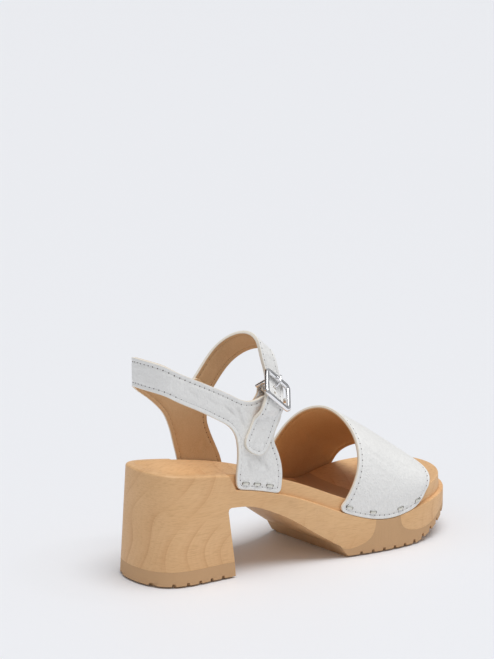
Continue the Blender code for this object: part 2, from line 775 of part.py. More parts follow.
def vamp_point(across, y):
    """Return a point on the middle of the vamp's leather."""
    outer = side_x(y, "outer", -SEAT_INSET)
    inner = side_x(y, "inner", -SEAT_INSET)
    low = float(ledge_z(y)) + GAP
    past = y - VAMP_CREST_Y
    crest = VAMP_CREST_Z + VAMP_CREST_SLOPE * past + VAMP_CREST_BEND * past * past
    half = VAMP_ARCH / 2
    turn = math.pi * (0.5 - min(max(across, -half), half) / VAMP_ARCH)
    swing = math.copysign(abs(math.cos(turn)) ** VAMP_SHOULDER, math.cos(turn))
    x = (outer + inner) / 2 + (outer - inner) / 2 * swing + VAMP_CREST_SHIFT * math.sin(turn)
    z = low + VAMP_WALL + (crest - low - VAMP_WALL) * math.sin(turn)
    return np.array([x, y, z - max(0.0, abs(across) - half)])


def build_vamp(parts):
    """Build the wide band over the forefoot, open at the throat and at the toe."""
    reach = VAMP_ARCH / 2 + VAMP_WALL
    shares = [row[0] * reach for row in VAMP_EDGES]
    throat = natural_spline(shares, [row[1] for row in VAMP_EDGES])
    toe = natural_spline(shares, [row[2] for row in VAMP_EDGES])
    across = np.linspace(-reach, reach, 40)
    throat_edge = np.column_stack((across, throat(across)))
    toe_edge = np.column_stack((across[::-1], toe(across[::-1])))
    edges = (throat_edge, np.array((throat_edge[-1], toe_edge[0])), toe_edge,
             np.array((toe_edge[-1], throat_edge[0])))
    outline = rounded_outline(edges, (VAMP_REAR_CORNER, VAMP_TOE_CORNER, VAMP_TOE_CORNER, VAMP_REAR_CORNER))
    cuts = (np.arange(-reach + 4.0, reach, BEND_STEP), np.arange(120.0, 206.0, 8.0))
    finish(bent_piece("vamp", [outline], LEATHER, cuts, vamp_place, parts), "leather")


# Buckle

def buckle_along():
    """Return the distance along the strap of the middle of the buckle."""
    places = np.linspace(STRAP_LENGTH * 0.5, STRAP_LENGTH, 400)
    heights = np.array([strap_point(place, 0.0)[2] for place in places])
    return float(np.interp(-BUCKLE_ALONG_Z, -heights, places))


def buckle_frame():
    """Return the middle of the buckle with its directions along, across and outward."""
    middle = buckle_along()
    reach = (BUCKLE_HEIGHT - BUCKLE_TOP_BAR) / 2
    top = strap_point(middle - reach, 0.0)
    low = strap_point(middle + reach, 0.0)
    along = (top - low) / np.linalg.norm(top - low)
    across = strap_frame(middle, 0.0)[2]
    across = across - along * across.dot(along)
    across /= np.linalg.norm(across)
    outward = np.cross(across, along)
    if outward[0] < 0.0:
        outward = -outward
    return (top + low) / 2, along, across, outward


def in_buckle(frame, across, along, lift):
    """Return a point given in the buckle's own directions."""
    middle, along_way, across_way, outward = frame
    return middle + across_way * across + along_way * along + outward * lift


def rounded_rectangle(low, high, radius, steps=5):
    """Return the outline of a rectangle with round corners."""
    corners = ((high[0], high[1], 0.0), (low[0], high[1], 90.0),
               (low[0], low[1], 180.0), (high[0], low[1], 270.0))
    points = []
    for x, y, start in corners:
        centre = (x - math.copysign(radius, x), y - math.copysign(radius, y))
        for i in range(steps + 1):
            angle = math.radians(start + 90.0 * i / steps)
            points.append((centre[0] + radius * math.cos(angle), centre[1] + radius * math.sin(angle)))
    return np.array(points)


def bar_tool(name, frame, low, high, tools):
    """Return a box between two corners given in the buckle's own directions."""
    outline = np.array(((low[0], low[1]), (high[0], low[1]), (high[0], high[1]), (low[0], high[1])))
    middle = (low[2] + high[2]) / 2
    box = bent_piece(name, [outline], high[2] - low[2], ((), ()),
                     lambda across, along, lift: in_buckle(frame, across, along, lift + middle), tools)
    return as_cutter(box)


def build_buckle(parts, tools):
    """Build the buckle's frame with its centre bar, and the prong that turns on the bar."""
    frame = buckle_frame()
    half = (BUCKLE_LENGTH / 2, BUCKLE_HEIGHT / 2)
    outer = rounded_rectangle((-half[0], -half[1]), half, BUCKLE_CORNER)
    inner = rounded_rectangle((-half[0] + BUCKLE_SIDE, -half[1] + BUCKLE_LOW_BAR),
                              (half[0] - BUCKLE_SIDE, half[1] - BUCKLE_TOP_BAR), BUCKLE_INNER_CORNER)
    face = LEATHER / 2 + BUCKLE_CLEARANCE + BUCKLE_THICKNESS / 2
    piece = bent_piece("buckle_frame", [outer, inner], BUCKLE_THICKNESS, ((), ()),
                       lambda across, along, lift: in_buckle(frame, across, along, lift + face), parts)
    ear_low = half[0] - BUCKLE_SIDE + EAR_INSETS[1]
    ear_high = half[0] - EAR_INSETS[0]
    ear_end = -CENTRE_BAR_DEPTH - CENTRE_BAR_RADIUS - EAR_BELOW_BAR
    for sign, side in ((1.0, "front"), (-1.0, "rear")):
        low = min(sign * ear_low, sign * ear_high)
        high = max(sign * ear_low, sign * ear_high)
        ear = bar_tool(f"buckle_ear_{side}", frame, (low, -EAR_HALF, ear_end), (high, EAR_HALF, face), tools)
        boolean(piece, "UNION", ear)
    bar_end = ear_low + CENTRE_BAR_INTO_EAR
    bar_ends = [in_buckle(frame, across, 0.0, -CENTRE_BAR_DEPTH) for across in (-bar_end, bar_end)]
    boolean(piece, "UNION", as_cutter(tube("buckle_centre_bar", bar_ends, CENTRE_BAR_RADIUS, tools)))
    finish(piece, "metal")
    build_prong(frame, face, parts)
    build_tab(frame, parts)


def tube(name, points, radius, collection):
    """Return a round rod along a line of points in millimetres."""
    curve = bpy.data.curves.new(name, "CURVE")
    curve.dimensions = "3D"
    curve.bevel_depth = radius * MM
    curve.bevel_resolution = 2
    curve.use_fill_caps = True
    spline = curve.splines.new("POLY")
    spline.points.add(len(points) - 1)
    for target, point in zip(spline.points, points):
        target.co = (*to_model(point), 1.0)
    guide = bpy.data.objects.new(name, curve)
    collection.objects.link(guide)
    mesh = bpy.data.meshes.new_from_object(guide.evaluated_get(bpy.context.evaluated_depsgraph_get()))
    bpy.data.objects.remove(guide)
    bpy.data.curves.remove(curve)
    work = bmesh.new()
    work.from_mesh(mesh)
    bmesh.ops.remove_doubles(work, verts=work.verts, dist=0.00001)
    bmesh.ops.recalc_face_normals(work, faces=work.faces[:])
    work.to_mesh(mesh)
    work.free()
    mesh.name = name
    return new_object(name, mesh, collection)


def build_prong(frame, face, parts):
    """Build the prong: a hook on the centre bar, a shank through the strap and a tip on the top bar."""
    ring = CENTRE_BAR_RADIUS + GAP + PRONG_RADIUS
    rest = face + BUCKLE_THICKNESS / 2 + GAP + PRONG_RADIUS
    path = []
    for degrees in range(150, 361, 30):
        angle = math.radians(degrees)
        path.append((ring * math.cos(angle), ring * math.sin(angle) - CENTRE_BAR_DEPTH))
    path += PRONG_SHANK
    path += [(along, rest + lift) for along, lift in PRONG_TIP]
    points = [in_buckle(frame, 0.0, along, lift) for along, lift in path]
    finish(tube("buckle_prong", points, PRONG_RADIUS, parts), "metal")


def build_tab(frame, parts):
    """Build the forked leather tab that loops over the centre bar beside the prong."""
    loop = CENTRE_BAR_RADIUS + GAP + TAB_LEATHER / 2
    inside = -(LEATHER / 2 + GAP + TAB_LEATHER / 2)
    line = [np.array((seat_x(y, z, "outer", inside - inset), y, z)) for y, z, inset in TAB_LAP]
    for degrees in range(-100, 91, 19):
        angle = math.radians(degrees)
        line.append(in_buckle(frame, 0.0, loop * math.cos(angle), loop * math.sin(angle) - CENTRE_BAR_DEPTH))
    line.append(in_buckle(frame, 0.0, -3.0, loop - CENTRE_BAR_DEPTH - 0.3))
    line = smooth_line(np.array(line), 0.8)
    lengths = chord_lengths(line)
    run = np.gradient(line, axis=0)
    run /= np.linalg.norm(run, axis=1)[:, None]
    width = frame[2]
    outward = np.cross(run, width)
    outward /= np.linalg.norm(outward, axis=1)[:, None]

    def place(along, across, lift):
        middle = np.array([np.interp(along, lengths, line[:, axis]) for axis in range(3)])
        lifted = np.array([np.interp(along, lengths, outward[:, axis]) for axis in range(3)])
        return middle + width * across + lifted / np.linalg.norm(lifted) * lift

    half, slot, end = TAB_WIDTH / 2, TAB_SLOT / 2, lengths[-1]
    fork = end - TAB_SLOT_LENGTH
    outline = np.array(((0.0, -half), (end, -half), (end, -slot), (fork, -slot), (fork, slot), (end, slot),
                        (end, half), (0.0, half)))
    cuts = (np.concatenate((np.arange(3.0, fork, 3.0), np.arange(fork + 0.9, end, 0.9))), ())
    finish(bent_piece("buckle_tab", [outline], TAB_LEATHER, cuts, place, parts), "leather")


# Staples

def staple(name, middle, along, outward, parts):
    """Build the crown of one staple, flat on the leather."""
    bpy.ops.mesh.primitive_cube_add(size=1.0)
    piece = bpy.context.object
    piece.name = name
    piece.data.transform(Matrix.Diagonal((*(size * MM for size in STAPLE_SIZE), 1.0)))
    for owner in piece.users_collection:
        owner.objects.unlink(piece)
    parts.objects.link(piece)
    along = Vector(along).normalized()
    outward = Vector(outward).normalized()
    across = outward.cross(along).normalized()
    outward = along.cross(across)
    lift = LEATHER / 2 + GAP + STAPLE_SIZE[2] / 2
    turn = Matrix((along, across, outward)).transposed().to_4x4()
    piece.matrix_world = Matrix.Translation(to_model(Vector(middle) + outward * lift)) @ turn
    bevel = piece.modifiers.new("soft_edge", "BEVEL")
    bevel.width = STAPLE_SOFT_EDGE * MM
    bevel.segments = 1
    finish(piece, "metal")


def build_staples(parts):
    """Build the staples along the lower edges of the quarters and the vamp."""
    reach = VAMP_ARCH / 2 + VAMP_WALL - STAPLE_ABOVE_LEDGE
    for side, rows in QUARTER_STAPLES.items():
        for i, y in enumerate(rows):
            s = around(y, side)
            z = float(ledge_z(y)) + STAPLE_ABOVE_LEDGE
            slope = float(ledge_z(y + 1.0) - ledge_z(y - 1.0)) / 2
            middle = np.array(around_heel(s, z, 0.0))
            ahead = np.array(around_heel(around(y + 1.0, side), z + slope, 0.0))
            staple(f"staple_quarter_{side}_{i + 1}", middle, ahead - middle, (*plan_at(s)[1], 0.0), parts)
    for side, rows in VAMP_STAPLES.items():
        across = reach if side == "outer" else -reach
        for i, y in enumerate(rows):
            middle = vamp_point(across, y)
            ahead = vamp_point(across, y + 1.0)
            outward = vamp_place(across, y, 1.0) - middle
            staple(f"staple_vamp_{side}_{i + 1}", middle, ahead - middle, outward, parts)


def main():
    """Clear the scene and build the sandal."""
    for obj in list(bpy.data.objects):
        bpy.data.objects.remove(obj)
    parts = bpy.data.collections.new(OBJECT_NAME)
    tools = bpy.data.collections.new("cutters")
    bpy.context.scene.collection.children.link(parts)
    bpy.context.scene.collection.children.link(tools)
    build_sole(parts, tools)
    build_vamp(parts)
    build_back_straps(parts, tools)
    build_buckle(parts, tools)
    build_staples(parts)


main()
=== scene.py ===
"""Looks of a platform sandal for the right foot.

A split wooden sole on rubber treads carries a wide vamp, two quarters with a heel strap, and an ankle
strap with a buckle. The pieces are worked out in millimetres in the shoemaker's frame, with x to the outer
side, y from the back of the heel to the toe and z up from the floor, and are moved to metres when finished.
"""

import logging
import math
from dataclasses import dataclass
from enum import Enum
from typing import Any, Callable, Mapping, Sequence

import bmesh
import bpy
import numpy as np
from mathutils import Matrix, Vector
from mathutils.geometry import delaunay_2d_cdt


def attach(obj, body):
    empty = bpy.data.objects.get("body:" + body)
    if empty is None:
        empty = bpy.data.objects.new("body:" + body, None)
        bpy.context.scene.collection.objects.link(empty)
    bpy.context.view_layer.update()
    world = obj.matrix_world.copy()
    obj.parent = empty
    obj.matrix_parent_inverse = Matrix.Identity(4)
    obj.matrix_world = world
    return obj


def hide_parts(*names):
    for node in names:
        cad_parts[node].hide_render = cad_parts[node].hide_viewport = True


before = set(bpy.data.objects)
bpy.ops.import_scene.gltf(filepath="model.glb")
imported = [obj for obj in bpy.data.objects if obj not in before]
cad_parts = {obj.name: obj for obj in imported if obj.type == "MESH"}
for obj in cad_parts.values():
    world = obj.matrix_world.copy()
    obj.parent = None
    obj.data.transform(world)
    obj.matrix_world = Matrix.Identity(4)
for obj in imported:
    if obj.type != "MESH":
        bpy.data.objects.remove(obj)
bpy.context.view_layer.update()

LOG = logging.getLogger("sandal")

Array = np.ndarray
Pair = tuple[float, float]
Triple = tuple[float, float, float]
Colour = Triple
Rows = tuple[tuple[float, ...], ...]
Faces = list[Sequence[int]]
Shape = tuple[Array, Faces]
Place = Callable[[Array, Array, Array], Array]
Mesh = bpy.types.Mesh
Material = bpy.types.Material
Socket = bpy.types.NodeSocket

MM = 0.001
GAP = 0.3
LEATHER = 2.2


class Side(Enum):
    """Side of the foot, with the sign of its x direction."""

    OUTER = 1.0
    INNER = -1.0


SideRows = tuple[tuple[Side, tuple[float, ...]], ...]


class Carve(Enum):
    """What a tool does to a block."""

    KEEP = "INTERSECT"
    REMOVE = "DIFFERENCE"
    JOIN = "UNION"


class Skin(Enum):
    """Faces of a piece of leather, as indices of its materials."""

    GRAIN = 0
    LINING = 1
    EDGE = 2


class Slot(Enum):
    """Material slots of the part's record."""

    WOOD = "wood"
    RUBBER = "rubber"
    LEATHER = "leather"
    BUCKLE = "buckle_metal"
    STAPLE = "staple_metal"


# Curves


class Spline:
    """Cubic curve through values at rising knots, straight at both ends."""

    def __init__(self, knots: Sequence[float] | Array, values: Sequence[Any] | Array) -> None:
        """Solve the bends of the curve.

        Args:
            knots: Rising places.
            values: Numbers or points at the knots.
        """
        self.knots = np.asarray(knots, float)
        self.values = np.asarray(values, float)
        self.step = np.diff(self.knots)
        count = len(self.knots)
        matrix = np.eye(count)
        right_side = np.zeros_like(self.values)
        for i in range(1, count - 1):
            before, after = self.step[i - 1], self.step[i]
            matrix[i, i - 1:i + 2] = before, 2 * (before + after), after
            rise_after = (self.values[i + 1] - self.values[i]) / after
            rise_before = (self.values[i] - self.values[i - 1]) / before
            right_side[i] = 6 * (rise_after - rise_before)
        self.bend = np.linalg.solve(matrix, right_side)

    def __call__(self, at: Any) -> Array:
        """Return the curve's value at one place or many.

        Args:
            at: Places along the knots.

        Returns:
            Values of the curve.
        """
        at = np.asarray(at, float)
        i = np.clip(np.searchsorted(self.knots, at) - 1, 0, len(self.knots) - 2)
        shape = at.shape + (1,) * (self.values.ndim - 1)
        width = self.step[i].reshape(shape)
        after = (at - self.knots[i]).reshape(shape)
        before = (self.knots[i + 1] - at).reshape(shape)
        low, high = self.bend[i], self.bend[i + 1]
        cubic = (low * before ** 3 + high * after ** 3) / (6 * width)
        start = (self.values[i] / width - low * width / 6) * before
        end = (self.values[i + 1] / width - high * width / 6) * after
        return cubic + start + end


def chord_lengths(points: Any) -> Array:
    """Return the distance along a line of points, from zero at the first one."""
    steps = np.linalg.norm(np.diff(np.asarray(points, float), axis=0), axis=1)
    return np.concatenate(([0.0], np.cumsum(steps)))


def smooth_line(points: Any, step: float = 1.2) -> Array:
    """Return evenly spread points on a smooth curve.

    Args:
        points: A few points that the curve passes through.
        step: Greatest distance between the points returned.

    Returns:
        Line of points.
    """
    lengths = chord_lengths(points)
    count = max(2, int(math.ceil(lengths[-1] / step)) + 1)
    return Spline(lengths, points)(np.linspace(0.0, lengths[-1], count))


def smoothstep(value: Array, span: Pair = (0.0, 1.0)) -> Array:
    """Return a soft step from 0 to 1 as values cross a span."""
    share = np.clip((value - span[0]) / (span[1] - span[0]), 0.0, 1.0)
    return share * share * (3.0 - 2.0 * share)


def unit(vectors: Array) -> Array:
    """Return vectors at length one."""
    return vectors / np.linalg.norm(vectors, axis=-1, keepdims=True)


def left_of(run: Array) -> Array:
    """Return plane directions turned a quarter to the left."""
    return np.column_stack((-run[:, 1], run[:, 0]))


def shifted(line: Array, distance: float) -> Array:
    """Return a plane line moved sideways to its left by a distance."""
    return line + distance * left_of(unit(np.gradient(line, axis=0)))


def sampled(at: Array, lengths: Array, rows: Array) -> Array:
    """Return rows of numbers read off at places among the lengths that belong to the rows."""
    return np.column_stack([np.interp(at, lengths, column) for column in rows.T])


def trimmed(line: Array, start: float, end: float) -> Array:
    """Return a plane line without its first and last stretch.

    Args:
        line: Line of points.
        start: Length taken off at the start.
        end: Length taken off at the end.

    Returns:
        Shorter line.
    """
    lengths = chord_lengths(line)
    keep = (lengths > start) & (lengths < lengths[-1] - end)
    ends = np.array([start, lengths[-1] - end])
    first, last = sampled(ends, lengths, line)
    return np.vstack((first, line[keep], last))


def without_repeats(points: Array, least: float = 0.02) -> Array:
    """Drop the points of a closed outline that lie on their neighbours.

    Args:
        points: Closed outline.
        least: Least distance between neighbours.

    Returns:
        Closed outline without repeats.
    """
    kept = [points[0]]
    for point in points[1:]:
        if np.linalg.norm(point - kept[-1]) > least:
            kept.append(point)
    if np.linalg.norm(kept[0] - kept[-1]) <= least:
        kept.pop()
    return np.array(kept)


def rounded_outline(edges: Sequence[Array], corners: Sequence[float], steps: int = 8) -> Array:
    """Join edges end to end, with a rounded corner after each one.

    Args:
        edges: Lines of points in order round the outline.
        corners: Length that each corner takes from its two edges.
        steps: Number of parts in a corner.

    Returns:
        Closed outline.
    """
    outline: list[Array] = []
    for i, edge in enumerate(edges):
        following = edges[(i + 1) % len(edges)]
        radius = corners[i]
        line = trimmed(edge, corners[i - 1], radius)
        outline.extend(line)
        after = trimmed(following, radius, 0.0)[0]
        for share in np.arange(1, steps) / steps:
            near = line[-1] + (edge[-1] - line[-1]) * share
            far = edge[-1] + (after - edge[-1]) * share
            outline.append(near + (far - near) * share)
    return without_repeats(np.array(outline))


def inset_loop(outline: Array, inset: float, step: float = 0.8) -> Array:
    """Return a closed line that runs inside an outline.

    Args:
        outline: Closed outline in the plane.
        inset: Distance from the outline.
        step: Distance between the points returned.

    Returns:
        Closed line of points, without those that come too near the outline.
    """
    ring = np.vstack((outline, outline[:1]))
    lengths = chord_lengths(ring)
    places = np.arange(0.0, lengths[-1], step)
    dense = sampled(places, lengths, ring)
    before, after = np.roll(dense, 1, axis=0), np.roll(dense, -1, axis=0)
    turn = np.sum(dense[:, 0] * after[:, 1] - dense[:, 1] * after[:, 0])
    moved = dense + math.copysign(inset, turn) * left_of(unit(after - before))
    gaps = np.linalg.norm(moved[:, None, :] - dense[None, :, :], axis=2).min(axis=1)
    kept_share = 0.97
    return moved[gaps > kept_share * inset]


def densified(outline: Array, step: float) -> Array:
    """Add points on the sides of a closed outline.

    Args:
        outline: Closed outline.
        step: Greatest distance between neighbours.

    Returns:
        Closed outline with more points.
    """
    points: list[Array] = []
    for here, following in zip(outline, np.roll(outline, -1, axis=0)):
        count = max(1, int(math.ceil(np.linalg.norm(following - here) / step)))
        points.extend(here + (following - here) * share for share in np.arange(count) / count)
    return np.array(points)


def share_and_distance(points: Array, start: Array, run: Array) -> tuple[Array, Array]:
    """Return how far along a straight line points lie, as a share of it, and how far from it."""
    share = np.clip((points - start) @ run / (run @ run), 0.0, 1.0)
    return share, np.linalg.norm(points - start - share[:, None] * run, axis=1)


def edge_distance(points: Array, outline: Array) -> Array:
    """Return the distance of points from a closed outline.

    Args:
        points: Places in the plane.
        outline: Closed outline.

    Returns:
        One distance for each point.
    """
    nearest = np.full(len(points), np.inf)
    for start, run in zip(outline, np.roll(outline, -1, axis=0) - outline):
        nearest = np.minimum(nearest, share_and_distance(points, start, run)[1])
    return nearest


def inside(points: Array, outline: Array) -> Array:
    """Return which points lie inside a closed outline.

    Args:
        points: Places in the plane.
        outline: Closed outline.

    Returns:
        True or false for each point.
    """
    crossed = np.zeros(len(points), bool)
    for (x0, y0), (x1, y1) in zip(outline, np.roll(outline, -1, axis=0)):
        spans = (y0 > points[:, 1]) != (y1 > points[:, 1])
        if y0 != y1:
            crossed ^= spans & (points[:, 0] < x0 + (x1 - x0) * (points[:, 1] - y0) / (y1 - y0))
    return crossed


def crease_height(flat: Array, creases: Rows) -> Array:
    """Return the height that soft creases give a sheet, as troughs between low ridges.

    Args:
        flat: Places on the flat sheet.
        creases: Rows of (first, second, far first, far second, half width, depth).

    Returns:
        One height for each place.
    """
    height = np.zeros(len(flat))
    ridge, ridge_place = 0.45, 2.0
    for first, second, far_first, far_second, half, depth in creases:
        start, run = np.array((first, second)), np.array((far_first - first, far_second - second))
        share, distance = share_and_distance(flat, start, run)
        away = distance / half
        shape = ridge * np.exp(-(away - ridge_place) ** 2) - np.exp(-away ** 2)
        height += depth * np.sin(math.pi * share) * shape
    return height


def rounded_rectangle(low: Sequence[float], high: Sequence[float], radius: float, steps: int = 10) -> Array:
    """Return the outline of a rectangle with round corners.

    Args:
        low: Lowest corner.
        high: Highest corner.
        radius: Corner radius.
        steps: Number of parts in a corner.

    Returns:
        Closed outline.
    """
    corners = ((high[0], high[1], 0.0), (low[0], high[1], 90.0),
               (low[0], low[1], 180.0), (high[0], low[1], 270.0))
    points = []
    for x, y, start in corners:
        centre = (x - math.copysign(radius, x), y - math.copysign(radius, y))
        for angle in np.radians(start + np.linspace(0.0, 90.0, steps + 1)):
            points.append((centre[0] + radius * math.cos(angle), centre[1] + radius * math.sin(angle)))
    return np.array(points)


# Meshes


def mesh_of(name: str, points: Array, faces: Sequence[Sequence[int]]) -> Mesh:
    """Return a closed mesh whose faces point outward.

    Args:
        name: Name of the mesh.
        points: Places of its corners.
        faces: Corner indices of each face.

    Returns:
        New mesh.
    """
    mesh = bpy.data.meshes.new(name)
    mesh.from_pydata([tuple(point) for point in points], [], [tuple(face) for face in faces])
    work = bmesh.new()
    work.from_mesh(mesh)
    bmesh.ops.recalc_face_normals(work, faces=work.faces[:])
    work.to_mesh(mesh)
    work.free()
    return mesh


def linked(piece: bpy.types.Object) -> bpy.types.Object:
    """Link an object to the scene and return it."""
    bpy.context.scene.collection.objects.link(piece)
    return piece


def evaluated_mesh(guide: bpy.types.Object) -> Mesh:
    """Return an object's evaluated mesh and remove the object.

    Args:
        guide: Object that isn't in a collection yet.

    Returns:
        Plain mesh.
    """
    linked(guide)
    graph = bpy.context.evaluated_depsgraph_get()
    shape = guide.evaluated_get(graph)
    mesh = bpy.data.meshes.new_from_object(shape, preserve_all_data_layers=True, depsgraph=graph)
    bpy.data.objects.remove(guide)
    return mesh


@dataclass(frozen=True)
class Sheet:
    """Leather of two plies, with a rounded cut edge and a groove that its seam pulls in."""

    thickness: float = LEATHER
    round_edge: float = 0.4
    cell: float = 1.6
    seam: float = 2.6
    groove_half: float = 1.2
    groove_depth: float = 0.42
    # Shares of the rounding and of the groove's half width at which rows of points lie
    round_shares: tuple[float, ...] = (0.08, 0.35, 1.0)
    groove_shares: tuple[float, ...] = (-1.0, -0.5, 0.0, 0.5, 1.0)

    def insets(self) -> list[float]:
        """Return the distances from the cut edge at which the surface bends.

        Returns:
            Rising distances.
        """
        rounding = [self.round_edge * share for share in self.round_shares]
        if self.groove_depth == 0.0:
            return rounding
        return rounding + [self.seam + self.groove_half * share for share in self.groove_shares]

    def rounded(self, inset: Array) -> Array:
        """Return the height of the rounded sheet above its middle at distances from the cut edge."""
        left = np.clip(1.0 - inset / self.round_edge, 0.0, 1.0)
        return self.thickness / 2 - self.round_edge * (1.0 - np.sqrt(1.0 - left * left))

    def groove(self, inset: Array) -> Array:
        """Return the depth of the groove at distances from the cut edge."""
        return self.groove_depth * (1.0 - smoothstep(np.abs(inset - self.seam) / self.groove_half))

    def flat(self, outline: Array) -> Shape:
        """Return points and triangles inside a flat outline, in rows along its edge.

        Args:
            outline: Closed outline.

        Returns:
            Points and triangles.
        """
        step = self.cell / 2
        lines = [outline] + [inset_loop(outline, inset, step) for inset in self.insets()]
        spans = [np.arange(outline[:, axis].min(), outline[:, axis].max(), self.cell) for axis in range(2)]
        grid = np.stack(np.meshgrid(*spans), axis=-1).reshape(-1, 2)
        deep = self.insets()[-1] + step
        grid = grid[inside(grid, outline) & (edge_distance(grid, outline) > deep)]
        links, start = [], 0
        for line in lines:
            for i in range(len(line)):
                k = (i + 1) % len(line)
                if np.linalg.norm(line[i] - line[k]) < 2 * step or start == 0:
                    links.append((start + i, start + k))
            start += len(line)
        places = [Vector(point) for point in np.vstack(lines + [grid])]
        within_links, least = 1, 1e-5
        points, _, triangles = delaunay_2d_cdt(places, links, [], within_links, least)[:3]
        return np.array([point[:] for point in points]), triangles

    def mesh(self, outline: Array, place: Place, creases: Rows = ()) -> Mesh:
        """Bend the sheet over a surface.

        Args:
            outline: Flat outline.
            place: Turns columns of (first, second, height above the middle) into points.
            creases: Soft creases as in crease_height.

        Returns:
            Mesh whose material indices tell grain side, lining and cut edge apart, and whose ply attribute
            runs from -1 on the lining to 1 on the grain side. The crease attribute is the creases' height,
            which the white leather also reads to paint shade into their troughs.
        """
        outline = densified(outline, self.cell / 2)
        flat, triangles = self.flat(outline)
        inset = edge_distance(flat, outline)
        height, bend = self.rounded(inset), crease_height(flat, creases)
        rise = height - self.groove(inset)
        count = len(flat)
        sides = [place(flat[:, 0], flat[:, 1], bend + sign * rise) for sign in (1.0, -1.0)]
        uses: dict[tuple[int, int], int] = {}
        for triangle in triangles:
            for i in range(3):
                link = tuple(sorted((triangle[i], triangle[i - 1])))
                uses[link] = uses.get(link, 0) + 1
        walls = [(a, b, count + b, count + a) for (a, b), used in uses.items() if used == 1]
        below = [tuple(count + corner for corner in triangle) for triangle in triangles]
        mesh = mesh_of("leather_sheet", np.vstack(sides), [*triangles, *below, *walls])
        past_round = 1.05
        rim = inset[np.array(triangles)].max(axis=1) < past_round * self.round_edge
        skins = [np.where(rim, Skin.EDGE.value, skin.value) for skin in (Skin.GRAIN, Skin.LINING)]
        skins.append(np.full(len(walls), Skin.EDGE.value))
        mesh.polygons.foreach_set("material_index", np.concatenate(skins).astype(np.int32))
        ply = np.concatenate((height, -height)) / (self.thickness / 2)
        for name, values in (("ply", ply), ("crease", np.tile(bend, 2))):
            mesh.attributes.new(name, "FLOAT", "POINT").data.foreach_set("value", values.astype(np.float32))
        return mesh


def prism(profile: Array, half_width: float) -> Mesh:
    """Return a side view carried across the sole.

    Args:
        profile: Closed outline of (y, z).
        half_width: Half of the width along x.

    Returns:
        Closed mesh.
    """
    curve = bpy.data.curves.new("side_view", "CURVE")
    curve.dimensions = "2D"
    curve.fill_mode = "BOTH"
    curve.extrude = half_width
    line = curve.splines.new("POLY")
    line.points.add(len(profile) - 1)
    line.use_cyclic_u = True
    for corner, (y, z) in zip(line.points, profile):
        corner.co = (y, z, 0.0, 1.0)
    mesh = evaluated_mesh(bpy.data.objects.new("side_view", curve))
    same_place, same_plane = 0.001, math.radians(0.05)
    work = bmesh.new()
    work.from_mesh(mesh)
    bmesh.ops.remove_doubles(work, verts=work.verts, dist=same_place)
    bmesh.ops.dissolve_limit(work, angle_limit=same_plane, verts=work.verts, edges=work.edges)
    bmesh.ops.triangulate(work, faces=work.faces[:])
    for vert in work.verts:
        vert.co = vert.co.zxy
    bmesh.ops.recalc_face_normals(work, faces=work.faces[:])
    work.to_mesh(mesh)
    work.free()
    return mesh


def carved(block: Mesh, tools: Sequence[tuple[Carve, Mesh]]) -> Mesh:
    """Cut a block with tools, or join them to it.

    Args:
        block: Mesh to start from.
        tools: What each tool does, and its mesh.

    Returns:
        Finished mesh.
    """
    guide = bpy.data.objects.new("block", block)
    helpers = []
    for carve, mesh in tools:
        tool = linked(bpy.data.objects.new("tool", mesh))
        tool.hide_render = True
        helpers.append(tool)
        modifier = guide.modifiers.new("carve", "BOOLEAN")
        modifier.operation = carve.value
        modifier.solver = "EXACT"
        modifier.object = tool
    mesh = evaluated_mesh(guide)
    for tool in helpers:
        bpy.data.objects.remove(tool)
    return mesh


def signed_power(value: Array, power: float) -> Array:
    """Return numbers raised to a power with their signs kept."""
    return np.sign(value) * np.abs(value) ** power


def round_section(corners: int, square: float = 1.0) -> tuple[Array, Array]:
    """Return points round a section of half size one, along its width and along its depth."""
    turn = np.linspace(0.0, 2 * math.pi, corners, endpoint=False)
    return signed_power(np.cos(turn), square), signed_power(np.sin(turn), square)


def band_faces(rings: int, corners: int, closed: bool = False) -> Faces:
    """Return the faces between rings of points that follow each other.

    Args:
        rings: Number of rings.
        corners: Number of points in each ring.
        closed: Whether the last ring joins the first one.

    Returns:
        Corner indices of each face.
    """
    faces: Faces = []
    for i in range(rings if closed else rings - 1):
        low, high = i * corners, (i + 1) % rings * corners
        for j in range(corners):
            k = (j + 1) % corners
            faces.append((low + j, low + k, high + k, high + j))
    return faces


def tube_faces(rings: int, corners: int) -> Faces:
    """Return the faces of a tube through rings of points, with its two end caps first."""
    last = (rings - 1) * corners
    return [range(corners), range(last, last + corners), *band_faces(rings, corners)]


def swept(path: Any, half_width: Any, half_depth: Any, square: float = 1.0, corners: int = 16) -> Shape:
    """Sweep a rounded section along a plane path.

    Args:
        path: Points (first, third) of the path; the width runs along the second axis.
        half_width: Half width at each point.
        half_depth: Half depth at each point.
        square: 1 for an ellipse, towards 0 for a rectangle.
        corners: Points round the section.

    Returns:
        Corner places as (first, second, third) and the faces.
    """
    path = np.asarray(path, float)
    count = len(path)
    half_width, half_depth = (np.broadcast_to(np.asarray(half, float), count)[:, None]
                              for half in (half_width, half_depth))
    side = left_of(unit(np.gradient(path, axis=0)))
    wide, deep = round_section(corners, square)
    points = np.empty((count, corners, 3))
    points[:, :, 0] = path[:, :1] + side[:, :1] * half_depth * deep
    points[:, :, 1] = half_width * wide
    points[:, :, 2] = path[:, 1:] + side[:, 1:] * half_depth * deep
    return points.reshape(-1, 3), tube_faces(count, corners)


def joined(name: str, shapes: Sequence[Shape]) -> Mesh:
    """Make one mesh of several shapes.

    Args:
        name: Name of the mesh.
        shapes: Points and faces of each shape.

    Returns:
        Closed mesh.
    """
    points, faces, start = [], [], 0
    for places, corners in shapes:
        points.append(places)
        faces += [tuple(corner + start for corner in face) for face in corners]
        start += len(places)
    return mesh_of(name, np.vstack(points), faces)


# Shader and geometry trees


